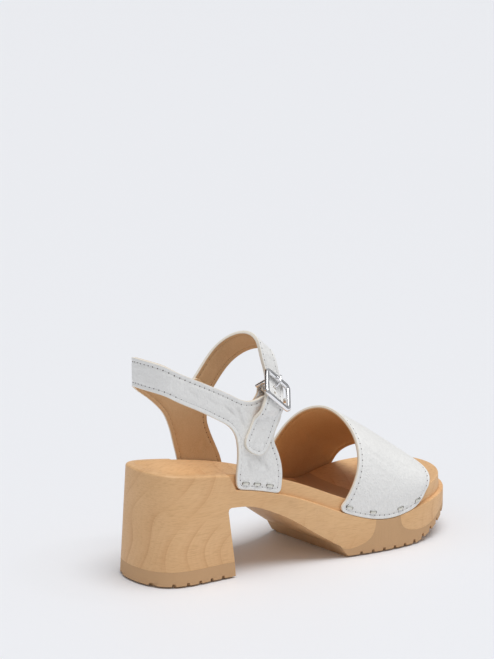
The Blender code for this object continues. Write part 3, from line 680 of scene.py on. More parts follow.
class Graph:
    """Node tree that is filled one node at a time."""

    def __init__(self, tree: bpy.types.NodeTree) -> None:
        """Keep the tree."""
        self.tree = tree

    def feed(self, socket: Socket, value: Any) -> None:
        """Link a socket to a value's socket, or set it to a constant.

        Args:
            socket: Input of a node.
            value: Value, socket, number, vector, or colour without its alpha.
        """
        if isinstance(value, Value):
            value = value.socket
        if isinstance(value, Socket):
            self.tree.links.new(value, socket)
        elif socket.type == "RGBA":
            socket.default_value = (*value, 1.0)
        else:
            socket.default_value = value

    def node(self, kind: str, settings: Mapping[str, Any] | None = None,
             sockets: Mapping[Any, Any] | None = None) -> bpy.types.Node:
        """Add a node.

        Args:
            kind: Type of the node.
            settings: Properties of the node, such as its operation.
            sockets: Values or links of its inputs, by name or index.

        Returns:
            New node.
        """
        made = self.tree.nodes.new(kind)
        for name, value in (settings or {}).items():
            setattr(made, name, value)
        for key, value in (sockets or {}).items():
            self.feed(made.inputs[key], value)
        return made

    def math(self, operation: str, *terms: Any) -> "Value":
        """Add a Math node and return its result."""
        made = self.node("ShaderNodeMath", {"operation": operation}, dict(enumerate(terms)))
        return Value(self, made.outputs[0])


def both_forms(operation: str) -> tuple[Callable[..., "Value"], ...]:
    """Return an operator of Value in its plain and its reflected form.

    Args:
        operation: Operation of the Math node that it adds.

    Returns:
        Method for a value on the left, and method for a value on the right.
    """

    def plain(self: "Value", other: Any) -> "Value":
        """Return the result with the value on the left."""
        return self.graph.math(operation, self, other)

    def reflected(self: "Value", other: Any) -> "Value":
        """Return the result with the value on the right."""
        return self.graph.math(operation, other, self)

    return plain, reflected


class Value:
    """Number in a node tree that takes part in Python expressions."""

    def __init__(self, graph: Graph, socket: Socket) -> None:
        """Wrap a socket."""
        self.graph = graph
        self.socket = socket

    __add__, __radd__ = both_forms("ADD")
    __sub__, __rsub__ = both_forms("SUBTRACT")
    __mul__, __rmul__ = both_forms("MULTIPLY")
    __pow__, __rpow__ = both_forms("POWER")

    def fraction(self) -> "Value":
        """Return the part after the decimal point."""
        return self.graph.math("FRACT", self)

    def size(self) -> "Value":
        """Return the value without its sign."""
        return self.graph.math("ABSOLUTE", self)

    def limited(self) -> "Value":
        """Return the value held between 0 and 1."""
        return self.graph.math("MINIMUM", self.graph.math("MAXIMUM", self, 0.0), 1.0)

    def above(self, start: float, gain: float) -> "Value":
        """Return a mask that rises from 0 at start with a gain and stops at 1."""
        return ((self - start) * gain).limited()


class Shader(Graph):
    """Material with a Principled shader, worked out in millimetres of Object coordinates."""

    def __init__(self, name: str) -> None:
        """Start a material.

        Args:
            name: Name of the material.
        """
        self.material = bpy.data.materials.new(name)
        self.material.use_nodes = True
        super().__init__(self.material.node_tree)
        self.surface = self.tree.nodes["Principled BSDF"]
        coordinates = self.node("ShaderNodeTexCoord")
        self.place = self.stretched(coordinates.outputs["Object"], (1.0 / MM, 1.0 / MM, 1.0 / MM))

    def stretched(self, vector: Socket, scale: Sequence[float]) -> Socket:
        """Return a vector multiplied by a scale for each axis."""
        return self.node("ShaderNodeVectorMath", {"operation": "MULTIPLY"}, {0: vector, 1: scale}).outputs[0]

    def along(self, direction: Sequence[float]) -> Value:
        """Return the distance along a direction."""
        made = self.node("ShaderNodeVectorMath", {"operation": "DOT_PRODUCT"}, {0: self.place, 1: direction})
        return Value(self, made.outputs["Value"])

    def noise(self, waves: float | Triple, detail: float = 2.0, roughness: float = 0.5) -> Value:
        """Return a cloudy value around one half, with so many waves for each millimetre of each axis."""
        sockets = {"Vector": self.stretched(self.place, np.broadcast_to(waves, 3)), "Scale": 1.0,
                   "Detail": detail, "Roughness": roughness}
        return Value(self, self.node("ShaderNodeTexNoise", {"noise_dimensions": "3D"}, sockets).outputs[0])

    def attribute(self, name: str) -> Value:
        """Return a number that the piece's mesh holds."""
        made = self.node("ShaderNodeAttribute", {"attribute_type": "GEOMETRY", "attribute_name": name})
        return Value(self, made.outputs["Fac"])

    def cells(self, per_mm: float) -> Value:
        """Return the distance from the middle of pebbled cells of a size."""
        made = self.node("ShaderNodeTexVoronoi", {"feature": "SMOOTH_F1"},
                         {"Vector": self.place, "Scale": per_mm, "Smoothness": 0.4})
        return Value(self, made.outputs["Distance"])

    def mixed(self, factor: Value, low: Any, high: Any) -> Socket:
        """Return a colour between two colours or their sockets, by the share of the second one."""
        settings = {"data_type": "RGBA", "clamp_factor": True}
        return self.node("ShaderNodeMix", settings, {0: factor, 6: low, 7: high}).outputs[2]

    def dressed(self, colour: Any, roughness: Any, height: Value | None = None, relief: float = 0.1,
                constants: Mapping[str, float] | None = None) -> Material:
        """Join the finish to the shader.

        Args:
            colour: Base colour or its socket.
            roughness: Roughness or its value.
            height: Height of the relief from 0 to 1.
            relief: Depth of the relief in millimetres.
            constants: Other numbers of the shader, by socket name.

        Returns:
            Finished material.
        """
        inputs = self.surface.inputs
        self.feed(inputs["Base Color"], colour)
        self.feed(inputs["Roughness"], roughness)
        if height is not None:
            sockets = {"Strength": 1.0, "Distance": relief * MM, "Height": height}
            self.feed(inputs["Normal"], self.node("ShaderNodeBump", None, sockets).outputs[0])
        for name, value in (constants or {}).items():
            inputs[name].default_value = value
        return self.material


@dataclass(frozen=True)
class WoodFinish:
    """Pale wood, sanded and oiled, with fine flecks and soft growth lines."""

    pale: Colour = (0.85, 0.55, 0.29)
    warm: Colour = (0.71, 0.41, 0.185)
    line: Colour = (0.50, 0.19, 0.055)
    fleck: Colour = (0.50, 0.25, 0.095)
    # Waves for each millimetre of each axis
    tone_waves: Triple = (0.035, 0.012, 0.05)
    fibre_waves: Triple = (1.1, 0.07, 1.6)
    sway_waves: Triple = (0.013, 0.009, 0.016)
    fade_waves: float = 0.03
    fleck_waves: Triple = (0.35, 0.14, 2.6)
    line_spacing: float = 13.0
    line_way: Triple = (0.30, 0.85, -0.43)
    line_sway: float = 75.0
    line_share: float = 0.32
    fine_lines: float = 3.7
    fine_share: float = 0.08
    fleck_share: float = 0.32
    roughness: float = 0.42
    relief: float = 0.05

    def material(self) -> Material:
        """Make the material.

        Returns:
            Finished material.
        """
        shader = Shader("oiled_wood")
        tone = shader.noise(self.tone_waves, 3.0)
        fibre = shader.noise(self.fibre_waves, 3.0, 0.6)
        sway = shader.noise(self.sway_waves, 1.0)
        rise = shader.along(self.line_way) + sway * self.line_sway
        ring = (rise * (1.0 / self.line_spacing)).fraction() ** 6.0
        fine = (rise * (self.fine_lines / self.line_spacing) + fibre * 0.5).fraction() ** 2.0
        fade = shader.noise(self.fade_waves, 1.0).above(0.42, 5.0)
        fleck = shader.noise(self.fleck_waves, 2.0).above(0.50, 5.0)
        colour = shader.mixed((tone * 0.8 + fibre * 0.6 - 0.2).limited(), self.pale, self.warm)
        colour = shader.mixed((ring * self.line_share + fine * self.fine_share) * fade, colour, self.line)
        colour = shader.mixed(fleck * self.fleck_share, colour, self.fleck)
        return shader.dressed(colour, self.roughness + fibre * 0.2, fibre * 0.6 - fleck * 0.5, self.relief)


@dataclass(frozen=True)
class MattFinish:
    """Matt surface with a fine grain or a soft nap, for the rubber and the linings."""

    name: str
    pale: Colour
    deep: Colour
    grain_waves: float = 1.3
    grain_detail: float = 4.0
    grain_share: float = 1.5
    tone_waves: float = 0.07
    deep_start: float = 0.55
    roughness: float = 0.70
    relief: float = 0.16

    def material(self) -> Material:
        """Make the material.

        Returns:
            Finished material.
        """
        shader = Shader(self.name)
        grain = shader.noise(self.grain_waves, self.grain_detail, 0.65)
        tone = shader.noise(self.tone_waves, 3.0)
        share = tone * 0.6 + grain * self.grain_share - self.deep_start
        colour = shader.mixed(share.limited(), self.pale, self.deep)
        return shader.dressed(colour, self.roughness + grain * 0.2, grain, self.relief)


@dataclass(frozen=True)
class GrainFinish:
    """White leather with a fine pebbled grain and soft creases, whose troughs get painted shade."""

    pale: Colour = (0.925, 0.92, 0.90)
    shade: Colour = (0.76, 0.75, 0.73)
    # Colour of the painted shade in the troughs of the creases
    painted_trough_shade: Colour = (0.52, 0.51, 0.49)
    pebble_per_mm: float = 0.85
    wrinkle_waves: Triple = (0.10, 0.32, 0.22)
    tone_waves: float = 0.05
    fold_sharpness: float = 160.0
    # Gain of the painted shade from the creases' height; below zero, so the troughs darken
    crease_shade: float = -1.1
    roughness: float = 0.38
    relief: float = 0.36

    def material(self) -> Material:
        """Make the material.

        Returns:
            Finished material.
        """
        shader = Shader("white_leather")
        pebble = shader.cells(self.pebble_per_mm)
        wrinkle = shader.noise(self.wrinkle_waves, 4.0, 0.6)
        fold = (1.0 - (wrinkle - 0.5) ** 2.0 * self.fold_sharpness).limited()
        tone = shader.noise(self.tone_waves, 2.0)
        # Random tone, darker between the pebbles of the grain, with painted shade along the folds of the
        # wrinkles
        shade = tone * 0.3 + pebble * 0.3 + fold * 0.12 - 0.16
        # Painted shade in the troughs of the creases, read from the crease attribute
        painted_trough_shade = shader.attribute("crease") * self.crease_shade
        colour = shader.mixed(shade.limited(), self.pale, self.shade)
        colour = shader.mixed(painted_trough_shade.limited(), colour, self.painted_trough_shade)
        height = 0.8 - pebble * 0.5 - fold * 0.35 + tone * 1.2
        return shader.dressed(colour, self.roughness + pebble * 0.15, height, self.relief)


@dataclass(frozen=True)
class RawEdgeFinish:
    """Cut edge of the leather: a cream ply on the grain side and a tan ply on the lining side."""

    pale: Colour = (0.86, 0.82, 0.74)
    deep: Colour = (0.76, 0.66, 0.52)
    lining: Colour = (0.64, 0.42, 0.24)
    glue: Colour = (0.36, 0.24, 0.14)
    # Place of the glue line between the plies, from -1 on the lining to 1 on the grain side
    glue_place: float = -0.4
    roughness: float = 0.8
    fibre_waves: Triple = (2.2, 2.2, 3.5)
    relief: float = 0.10

    def material(self) -> Material:
        """Make the material.

        Returns:
            Finished material.
        """
        shader = Shader("leather_cut_edge")
        fibre = shader.noise(self.fibre_waves, 3.0, 0.6)
        ply = shader.attribute("ply") + (fibre - 0.5) * 0.3
        colour = shader.mixed(fibre.above(0.4, 2.5), self.pale, self.deep)
        colour = shader.mixed(ply.above(self.glue_place, 12.0), self.lining, colour)
        colour = shader.mixed((0.4 - (ply - self.glue_place).size() * 5.0).limited(), colour, self.glue)
        return shader.dressed(colour, self.roughness, fibre, self.relief)


@dataclass(frozen=True)
class MetalFinish:
    """Metal with faint polishing marks."""

    name: str
    colour: Colour
    dull: Colour
    roughness: float
    mark_waves: Triple = (2.5, 0.4, 2.5)
    relief: float = 0.004

    def material(self) -> Material:
        """Make the material.

        Returns:
            Finished material.
        """
        shader = Shader(self.name)
        mark = shader.noise(self.mark_waves, 3.0, 0.6)
        colour = shader.mixed(mark.above(0.45, 2.0), self.colour, self.dull)
        return shader.dressed(colour, self.roughness + mark * 0.08, mark, self.relief, {"Metallic": 1.0})


@dataclass(frozen=True)
class ThreadFinish:
    """Waxed thread, or the painted shade in a needle hole or a staple pit."""

    name: str
    pale: Colour
    deep: Colour
    roughness: float = 0.75
    twist_waves: float = 3.0
    relief: float = 0.03

    def material(self) -> Material:
        """Make the material.

        Returns:
            Finished material.
        """
        shader = Shader(self.name)
        twist = shader.noise(self.twist_waves, 2.0)
        colour = shader.mixed(twist, self.pale, self.deep)
        return shader.dressed(colour, self.roughness, twist, self.relief)


class Palette:
    """Materials of the sandal, each made once."""

    def __init__(self) -> None:
        """Make the materials."""
        self.wood = WoodFinish().material()
        self.rubber = MattFinish("tan_rubber", (0.645, 0.405, 0.215), (0.545, 0.32, 0.16), grain_waves=1.8,
                                 grain_detail=3.0, grain_share=0.5, tone_waves=0.05, deep_start=0.05,
                                 roughness=0.62, relief=0.06).material()
        grain, edge = GrainFinish().material(), RawEdgeFinish().material()
        lining = MattFinish("tan_lining", (0.68, 0.45, 0.25), (0.54, 0.325, 0.16)).material()
        # Second copy of the tan lining for the vamp: its own tan, made redder and more saturated as painted
        # bounce light in the hollow inside the vamp
        vamp_lining = MattFinish("vamp_lining", (0.72, 0.42, 0.19), (0.56, 0.30, 0.115)).material()
        self.leather = [grain, lining, edge]
        self.vamp_leather = [grain, vamp_lining, edge]
        self.folded_leather = [grain, grain, edge]
        self.chrome = MetalFinish("polished_metal", (0.88, 0.88, 0.89), (0.80, 0.80, 0.82), 0.04).material()
        self.staple = MetalFinish("staple_metal", (0.74, 0.73, 0.66), (0.56, 0.55, 0.48), 0.25).material()
        self.thread = ThreadFinish("white_thread", (0.80, 0.795, 0.78), (0.66, 0.65, 0.64)).material()
        self.lining_thread = ThreadFinish("tan_thread", (0.56, 0.35, 0.18), (0.42, 0.24, 0.11)).material()
        # Dark discs of painted shade in the needle holes on the lining and the grain side, and in the staple
        # pits
        self.lining_hole = ThreadFinish("lining_hole", (0.26, 0.14, 0.06), (0.16, 0.08, 0.03)).material()
        self.hole = ThreadFinish("needle_hole", (0.20, 0.18, 0.165), (0.12, 0.105, 0.095)).material()


# Footprint


@dataclass
class Footprint:
    """Outline of the sole in plan, and the heights along the foot that every piece shares."""

    # Rows of (x, y) at the level of the ledge, from the back of the heel round the outer side
    outline: Rows = ((0.0, 0.0), (22.0, 7.2), (27.5, 34.0), (36.9, 105.0), (48.2, 165.0), (40.9, 212.0),
                     (21.6, 234.4), (-5.3, 242.5), (-26.0, 236.2), (-43.3, 215.0), (-48.9, 175.0),
                     (-26.5, 110.0), (-27.5, 34.0), (-22.0, 7.2))
    # Rows of (y, height of the footbed's rim, depth of its dish)
    footbed: Rows = ((0.0, 71.1, 5.0), (35.0, 66.8, 6.0), (100.0, 52.4, 3.5), (165.0, 30.7, 3.0),
                     (190.0, 34.1, 3.0), (215.0, 36.6, 2.5), (245.0, 38.4, 2.0))
    rabbet_height: float = 9.3
    heel_flare: float = 4.2
    flare_end: Pair = (55.0, 100.0)
    samples: int = 1440

    def __post_init__(self) -> None:
        """Sample the outline and the heights."""
        points = np.array(self.outline)
        wrap = 4
        ring = np.vstack((points[-wrap:], points, points[:wrap + 1]))
        lengths = chord_lengths(ring)
        places = np.linspace(lengths[wrap], lengths[wrap + len(points)], self.samples + 1)
        self.plan = Spline(lengths, ring)(places)
        run = np.gradient(self.plan, axis=0)
        run[0] = run[-1] = self.plan[1] - self.plan[-2]
        run = unit(run)
        self.normal = np.column_stack((run[:, 1], -run[:, 0]))
        self.arc = chord_lengths(self.plan)
        self.length = float(self.arc[-1])
        self.tip = int(self.plan[:, 1].argmax())
        self.toe_y = float(self.plan[self.tip, 1])
        self.middle = Vector(((self.plan[:, 0].max() + self.plan[:, 0].min()) / 2,
                              (self.toe_y - self.heel_flare) / 2, 0.0))
        rows = np.array(self.footbed)
        self.rim = Spline(rows[:, 0], rows[:, 1])
        self.dish = Spline(rows[:, 0], rows[:, 2])

    def ledge(self, y: Any) -> Array:
        """Return the height of the ledge under the leather's edge."""
        return self.rim(y) - self.rabbet_height

    def at(self, s: Any) -> tuple[Array, Array]:
        """Return points and outward normals at distances round the outline from the back of the heel."""
        place = np.atleast_1d(np.asarray(s, float)) % self.length
        return sampled(place, self.arc, self.plan), unit(sampled(place, self.arc, self.normal))

    def around(self, y: Any, side: Side) -> Array:
        """Return the distance round the outline at which a side of the foot reaches y.

        Args:
            y: Places along the foot.
            side: Side of the foot.

        Returns:
            Distances from the back of the heel, below zero on the inner side.
        """
        if side is Side.OUTER:
            return np.interp(y, self.plan[:self.tip + 1, 1], self.arc[:self.tip + 1])
        return np.interp(y, self.plan[self.tip:, 1][::-1], self.arc[self.tip:][::-1]) - self.length

    def side_x(self, y: Any, side: Side, offset: Any) -> Array:
        """Return x on one side of the outline moved out by an offset.

        Args:
            y: Places along the foot.
            side: Side of the foot.
            offset: Distance out from the outline.

        Returns:
            One x for each y.
        """
        y = np.atleast_1d(np.asarray(y, float))
        shift = np.zeros_like(y)
        rounds = 4
        for _ in range(rounds):
            point, normal = self.at(self.around(y - shift, side))
            shift = normal[:, 1] * offset
        return point[:, 0] + normal[:, 0] * offset

    def flare(self, y: Array, z: Any) -> Array:
        """Return how far the heel's side stands out from the outline at a height."""
        return self.heel_flare * (1.0 - z / self.rim(y)) * (1.0 - smoothstep(y, self.flare_end))


@dataclass
class Workshop:
    """Turns finished meshes into pieces of the scene."""

    footprint: Footprint
    palette: Palette

    def publish(self, name: str, mesh: Mesh, materials: Sequence[Material], slot: Slot,
                nodes: Sequence[str] = (), sharp: float = 40.0) -> bpy.types.Object:
        """Move a mesh to metres, dress it and let it stand for its solids.

        Args:
            name: Name of the piece.
            mesh: Mesh in millimetres.
            materials: Materials in the order of the mesh's material indices; none keeps its own.
            slot: Material slot of the record; not used.
            nodes: Solids that the piece stands for.
            sharp: Angle in degrees above which an edge stays sharp.

        Returns:
            Object of the piece.
        """
        mesh.name = name
        mesh.transform(Matrix.Scale(MM, 4) @ Matrix.Translation(-self.footprint.middle))
        if materials:
            kept = np.empty(len(mesh.polygons), np.int32)
            mesh.polygons.foreach_get("material_index", kept)
            mesh.materials.clear()
            for material in materials:
                mesh.materials.append(material)
            mesh.polygons.foreach_set("material_index", np.minimum(kept, len(materials) - 1))
        mesh.shade_smooth()
        mesh.set_sharp_from_angle(angle=math.radians(sharp))
        piece = linked(bpy.data.objects.new(name, mesh))
        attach(piece, "root")
        if nodes:
            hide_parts(*nodes)
        mesh.calc_loop_triangles()
        LOG.info("%s: %d triangles", name, len(mesh.loop_triangles))
        return piece


# Sole


@dataclass
class Sole:
    """Rear wood, toe wood, forefoot rubber and heel rubber."""

    footprint: Footprint
    columns: int = 150
    rim_land: float = 5.0
    rim_round: float = 1.6
    rim_steps: int = 7
    # Depth and height of the shadow step at the floor, and rows of its shares of (depth, height)
    foot_step: Pair = (3.5, 1.2)
    foot_rings: Rows = ((1.0, -5.0), (1.0, 0.8), (0.0, 1.0))
    # Shares of the way from the spine to the rim at which the dish is drawn
    dish_shares: tuple[float, ...] = (0.94, 0.86, 0.76, 0.64, 0.5, 0.34, 0.18, 0.06)
    spine_from_heel: float = 30.0
    spine_from_toe: float = 38.0
    heel_rubber_height: float = 10.2
    breast_foot_y: float = 51.2
    breast_step: float = 0.3
    joint: float = 0.05
    curve_step: float = 0.7
    sharp: float = 35.0
    # Rows of (y, z) in side view
    breast: Rows = ((47.9, 41.9), (48.4, 43.6))
    arch: Rows = ((50.0, 44.4), (65.0, 42.9), (79.0, 37.9), (93.0, 30.9), (107.0, 21.8), (127.8, 8.6))
    rear_nose: Rows = ((127.8, 8.6), (130.0, 6.7), (134.0, 5.8), (140.6, 6.7), (146.5, 8.7), (151.0, 12.2),
                       (153.3, 17.4), (153.9, 24.0))
    toe_seat: Rows = ((173.3, 24.0), (173.8, 19.0), (175.4, 14.8), (179.6, 12.0), (186.0, 10.3),
                      (195.7, 10.0), (204.7, 11.6), (212.0, 14.4), (225.0, 19.8), (243.0, 27.2),
                      (258.0, 34.5))
    forefoot_rear_y: float = 134.6
    underside_y: float = 231.5
    underside_steps: int = 24
    spring_start_y: float = 178.0
    spring_rise: float = 9.4
    spring_reach: float = 20.0
    groove_pitch: float = 8.6
    groove_depth: float = 2.9
    groove_mouth: float = 3.2
    groove_floor: float = 1.6
    heel_grooves: tuple[float, int] = (-1.0, 6)
    forefoot_grooves: tuple[float, int] = (143.2, 11)
    rabbet_depth: float = 2.9
    rabbet_round: float = 0.6
    rabbet_draft: float = 1.0
    rabbet_slant: float = 4.8
    rabbet_start: Pair = (54.4, 48.0)

    def block(self) -> Mesh:
        """Return the whole sole as one block with a round rim, a dished footbed and a step at the floor.

        Returns:
            Closed mesh.
        """
        foot = self.footprint
        outer = np.linspace(0.0, foot.arc[foot.tip], self.columns + 1)
        inner = np.linspace(foot.arc[foot.tip], foot.length, self.columns + 1)
        point, normal = foot.at(np.concatenate((outer, inner[1:-1])))
        top = foot.rim(point[:, 1])
        levels = [(inward * self.foot_step[0], np.full(len(point), rise * self.foot_step[1]))
                  for inward, rise in self.foot_rings]
        for turn in np.radians(np.linspace(0.0, 90.0, self.rim_steps)):
            drop = self.rim_round * (1.0 - math.sin(turn))
            levels.append((self.rim_round * (1.0 - math.cos(turn)), top - drop))
        rings = []
        for inward, z in levels:
            offset = foot.flare(point[:, 1], z) - inward
            rings.append(np.column_stack((point + normal * offset[:, None], z)))
        land = point - normal * self.rim_land
        rings.append(np.column_stack((land, top)))
        spine_y = np.clip(land[:, 1], self.spine_from_heel, foot.toe_y - self.spine_from_toe)
        spine_x = sum(foot.side_x(spine_y, side, 0.0) for side in Side) / 2
        for share in self.dish_shares:
            y = spine_y + (land[:, 1] - spine_y) * share
            z = foot.rim(y) - foot.dish(y) * (1.0 - share ** 3)
            rings.append(np.column_stack((spine_x + (land[:, 0] - spine_x) * share, y, z)))
        count = len(point)
        faces = band_faces(len(rings), count)
        for start in (0, (len(rings) - 1) * count):
            for i in range(count // 2):
                strip = (i, i + 1, count - i - 1, (count - i) % count)
                faces.append([start + corner for corner in dict.fromkeys(strip)])
        return mesh_of("sole_block", np.vstack(rings), faces)

    def rabbet(self) -> Mesh:
        """Return the tool that cuts the rabbet from one side of the heel round the toe to the other.

        Returns:
            Closed mesh.
        """
        foot = self.footprint
        outside, above_rim, reach = 6.0, 8.0, 15.0
        start = float(foot.around(self.rabbet_start[0], Side.OUTER))
        end = float(foot.around(self.rabbet_start[1], Side.INNER)) + foot.length
        height = foot.rabbet_height + above_rim
        slant = self.rabbet_slant * height / foot.rabbet_height
        places = np.linspace(start, end, 4 * self.columns)
        back_set = slant * (np.clip(1.0 - (places - start) / reach, 0.0, 1.0)
                            - np.clip(1.0 - (end - places) / reach, 0.0, 1.0))
        y = foot.at(places)[0][:, 1]
        ledge = foot.ledge(y)
        edge, rim = foot.flare(y, ledge), foot.rabbet_height
        soft, slack = self.rabbet_round, (1.0 - math.sqrt(0.5)) * self.rabbet_round
        foot_in, rim_in = -self.rabbet_depth, -self.rabbet_depth - self.rabbet_draft * rim / height
        section = (
            (foot_in, 0.0), (edge - soft, 0.0), (edge - slack, -slack), (edge, -soft), (outside, -soft),
            (outside, height), (rim_in - soft, height), (rim_in - soft, rim),
            (rim_in - slack, rim - slack), (rim_in, rim - soft),
        )
        corners = []
        for offset, rise in section:
            point, normal = foot.at(places - back_set * max(rise, 0.0) / height)
            corners.append(np.column_stack((point + normal * np.reshape(offset, (-1, 1)), ledge + rise)))
        points = np.stack(corners, axis=1).reshape(-1, 3)
        return mesh_of("rabbet_tool", points, tube_faces(len(places), len(section)))

    def spring(self, y: float) -> float:
        """Return the height of the underside, which lifts towards the toe."""
        past = max(0.0, y - self.spring_start_y) / self.spring_reach
        return self.spring_rise * (math.sqrt(1.0 + past * past) - 1.0)

    def grooves(self, first: float, count: int) -> list[Pair]:
        """Return the side view of a row of tread grooves.

        Args:
            first: Place of the first groove.
            count: Number of grooves.

        Returns:
            Rows of (y, z).
        """
        line = []
        sides = ((-self.groove_mouth, 0.0), (-self.groove_floor, self.groove_depth),
                 (self.groove_floor, self.groove_depth), (self.groove_mouth, 0.0))
        for i in range(count):
            for step, depth in sides:
                y = first + i * self.groove_pitch + step / 2
                line.append((y, self.spring(y) + depth))
        return line

    def profiles(self) -> dict[str, list[Any]]:
        """Return the side view of each of the four pieces.

        Returns:
            Rows of (y, z), by the name of the solid.
        """
        behind, ahead, above = -20.0, 262.0, 95.0
        height, breast_y = self.heel_rubber_height, self.breast_foot_y - self.breast_step
        arch = smooth_line(self.arch)
        nose, seat = (smooth_line(line, self.curve_step) for line in (self.rear_nose, self.toe_seat))
        nose_back, seat_back = (shifted(line, -self.joint)[::-1] for line in (nose, seat))
        underside = [(y, self.spring(y)) for y in np.linspace(self.underside_y, ahead, self.underside_steps)]
        return {
            "wood_sole": [(behind, height), (breast_y, height), *self.breast, *arch[:-1], *nose,
                          (nose[-1][0], above), (behind, above)],
            "wood_toe": [(seat[0][0], above), *seat, (ahead, seat[-1][1]), (ahead, above)],
            "forefoot_rubber": [(self.forefoot_rear_y, 0.0), *self.grooves(*self.forefoot_grooves),
                                *underside, (ahead, seat_back[0][1]), *seat_back,
                                (seat_back[-1][0], above), (nose_back[0][0], above), *nose_back],
            "heel_rubber": [(behind, 0.0), *self.grooves(*self.heel_grooves), (self.breast_foot_y, 0.0),
                            (breast_y, height - self.joint), (behind, height - self.joint)],
        }

    def build(self, shop: Workshop) -> None:
        """Build and dress the four pieces.

        Args:
            shop: Workshop that takes the pieces.
        """
        half_width = 80.0
        for node, profile in self.profiles().items():
            tools = [(Carve.KEEP, prism(without_repeats(np.array(profile, float)), half_width))]
            if node != "heel_rubber":
                tools.append((Carve.REMOVE, self.rabbet()))
            mesh = carved(self.block(), tools)
            wooden = node.startswith("wood")
            material = shop.palette.wood if wooden else shop.palette.rubber
            slot = Slot.WOOD if wooden else Slot.RUBBER
            shop.publish(f"dressed_{node}", mesh, [material], slot, [node], self.sharp)


# Upper


class RowTree(Graph):
    """Geometry nodes that set shapes on the points of a guide."""

    def __init__(self, name: str, inputs: Mapping[str, str]) -> None:
        """Start the tree.

        Args:
            name: Name of the tree.
            inputs: Socket type of each named input.
        """
        super().__init__(bpy.data.node_groups.new(name, "GeometryNodeTree"))
        face = self.tree.interface
        for socket, kind in {"Geometry": "NodeSocketGeometry", **inputs}.items():
            face.new_socket(socket, in_out="INPUT", socket_type=kind)
        face.new_socket("Geometry", in_out="OUTPUT", socket_type="NodeSocketGeometry")
        self.given = self.node("NodeGroupInput").outputs
        self.join = self.node("GeometryNodeJoinGeometry")
        self.node("NodeGroupOutput", None, {0: self.join.outputs[0]})

    def way(self, name: str) -> Socket:
        """Return a direction that the guide holds at its points."""
        settings = {"data_type": "FLOAT_VECTOR"}
        return self.node("GeometryNodeInputNamedAttribute", settings, {"Name": name}).outputs[0]

    def turned(self, along: Socket) -> Socket:
        """Return the turn that points z outward and x along a direction."""
        settings, ways = {"primary_axis": "Z", "secondary_axis": "X"}, {0: self.way("outward"), 1: along}
        return self.node("FunctionNodeAxesToRotation", settings, ways).outputs[0]

    def set_row(self, shape: Socket, sockets: Mapping[str, Any], material: Any) -> None:
        """Set a shape on points, make it real and give it a material.

        Args:
            shape: Geometry of the shape.
            sockets: Points, their turn and other inputs of the instances.
            material: Material or its socket.
        """
        row = self.node("GeometryNodeInstanceOnPoints", None, {"Instance": shape, **sockets}).outputs[0]
        real = self.node("GeometryNodeRealizeInstances", None, {0: row}).outputs[0]
        dressed = self.node("GeometryNodeSetMaterial", None, {"Geometry": real, "Material": material})
        self.feed(self.join.inputs[0], dressed.outputs[0])

    def run(self, points: Array, links: Sequence[tuple[int, int]], ways: Mapping[str, Array],
            values: Mapping[str, Any]) -> Mesh:
        """Set the shapes on a guide.

        Args:
            points: Points of the guide.
            links: Pairs of points that its edges join.
            ways: Directions at the points, by name.
            values: Values of the tree's named inputs.

        Returns:
            Plain mesh of the shapes.
        """
        mesh = bpy.data.meshes.new("row_guide")
        mesh.from_pydata([tuple(point) for point in points], links, [])
        for name, vectors in ways.items():
            mesh.attributes.new(name, "FLOAT_VECTOR", "POINT").data.foreach_set("vector", vectors.ravel())
        guide = bpy.data.objects.new("row_guide", mesh)
        modifier = guide.modifiers.new("row", "NODES")
        modifier.node_group = self.tree
        for item in self.tree.interface.items_tree:
            if item.in_out == "INPUT" and item.name in values:
                modifier[item.identifier] = values[item.name]
        return evaluated_mesh(guide)


class StitchTree(RowTree):
    """Geometry nodes that sew stitches along a line, with a dark disc of painted shade in each needle hole.
    """

    def __init__(self) -> None:
        """Build the tree."""
        sizes, materials = ("Pitch", "Stitch Length", "Thread Radius", "Hole Radius"), ("Thread", "Hole")
        super().__init__("stitch_row", {**dict.fromkeys(sizes, "NodeSocketFloat"),
                                        **dict.fromkeys(materials, "NodeSocketMaterial")})
        pitch, length, radius, hole_radius = (Value(self, self.given[name]) for name in sizes)
        flatness, sink = 0.8, -0.1
        line = self.node("GeometryNodeMeshToCurve", None, {0: self.given["Geometry"]}).outputs[0]
        points = self.node("GeometryNodeResampleCurve", {"mode": "LENGTH"}, {"Curve": line, "Length": pitch})
        turn = self.turned(self.node("GeometryNodeInputTangent").outputs[0])
        ball = self.node("GeometryNodeMeshUVSphere", None, {"Segments": 8, "Rings": 5, "Radius": 1.0})
        size = self.node("ShaderNodeCombineXYZ", None, {0: length * 0.5, 1: radius, 2: radius * flatness})
        thread = self.node("GeometryNodeTransform", None,
                           {"Geometry": ball.outputs[0], "Scale": size.outputs[0]})
        # Each needle hole is a dark disc of painted shade, set a little into the leather
        painted_hole_shade = self.node("GeometryNodeMeshCylinder", {"fill_type": "NGON"},
                         {"Vertices": 8, "Radius": hole_radius, "Depth": radius})
        shift = self.node("ShaderNodeCombineXYZ", None, {0: pitch * 0.5, 2: radius * sink})
        hole = self.node("GeometryNodeTransform", None,
                         {"Geometry": painted_hole_shade.outputs[0], "Translation": shift.outputs[0]})
        for shape, name in zip((thread, hole), materials):
            self.set_row(shape.outputs[0], {"Points": points.outputs[0], "Rotation": turn}, self.given[name])


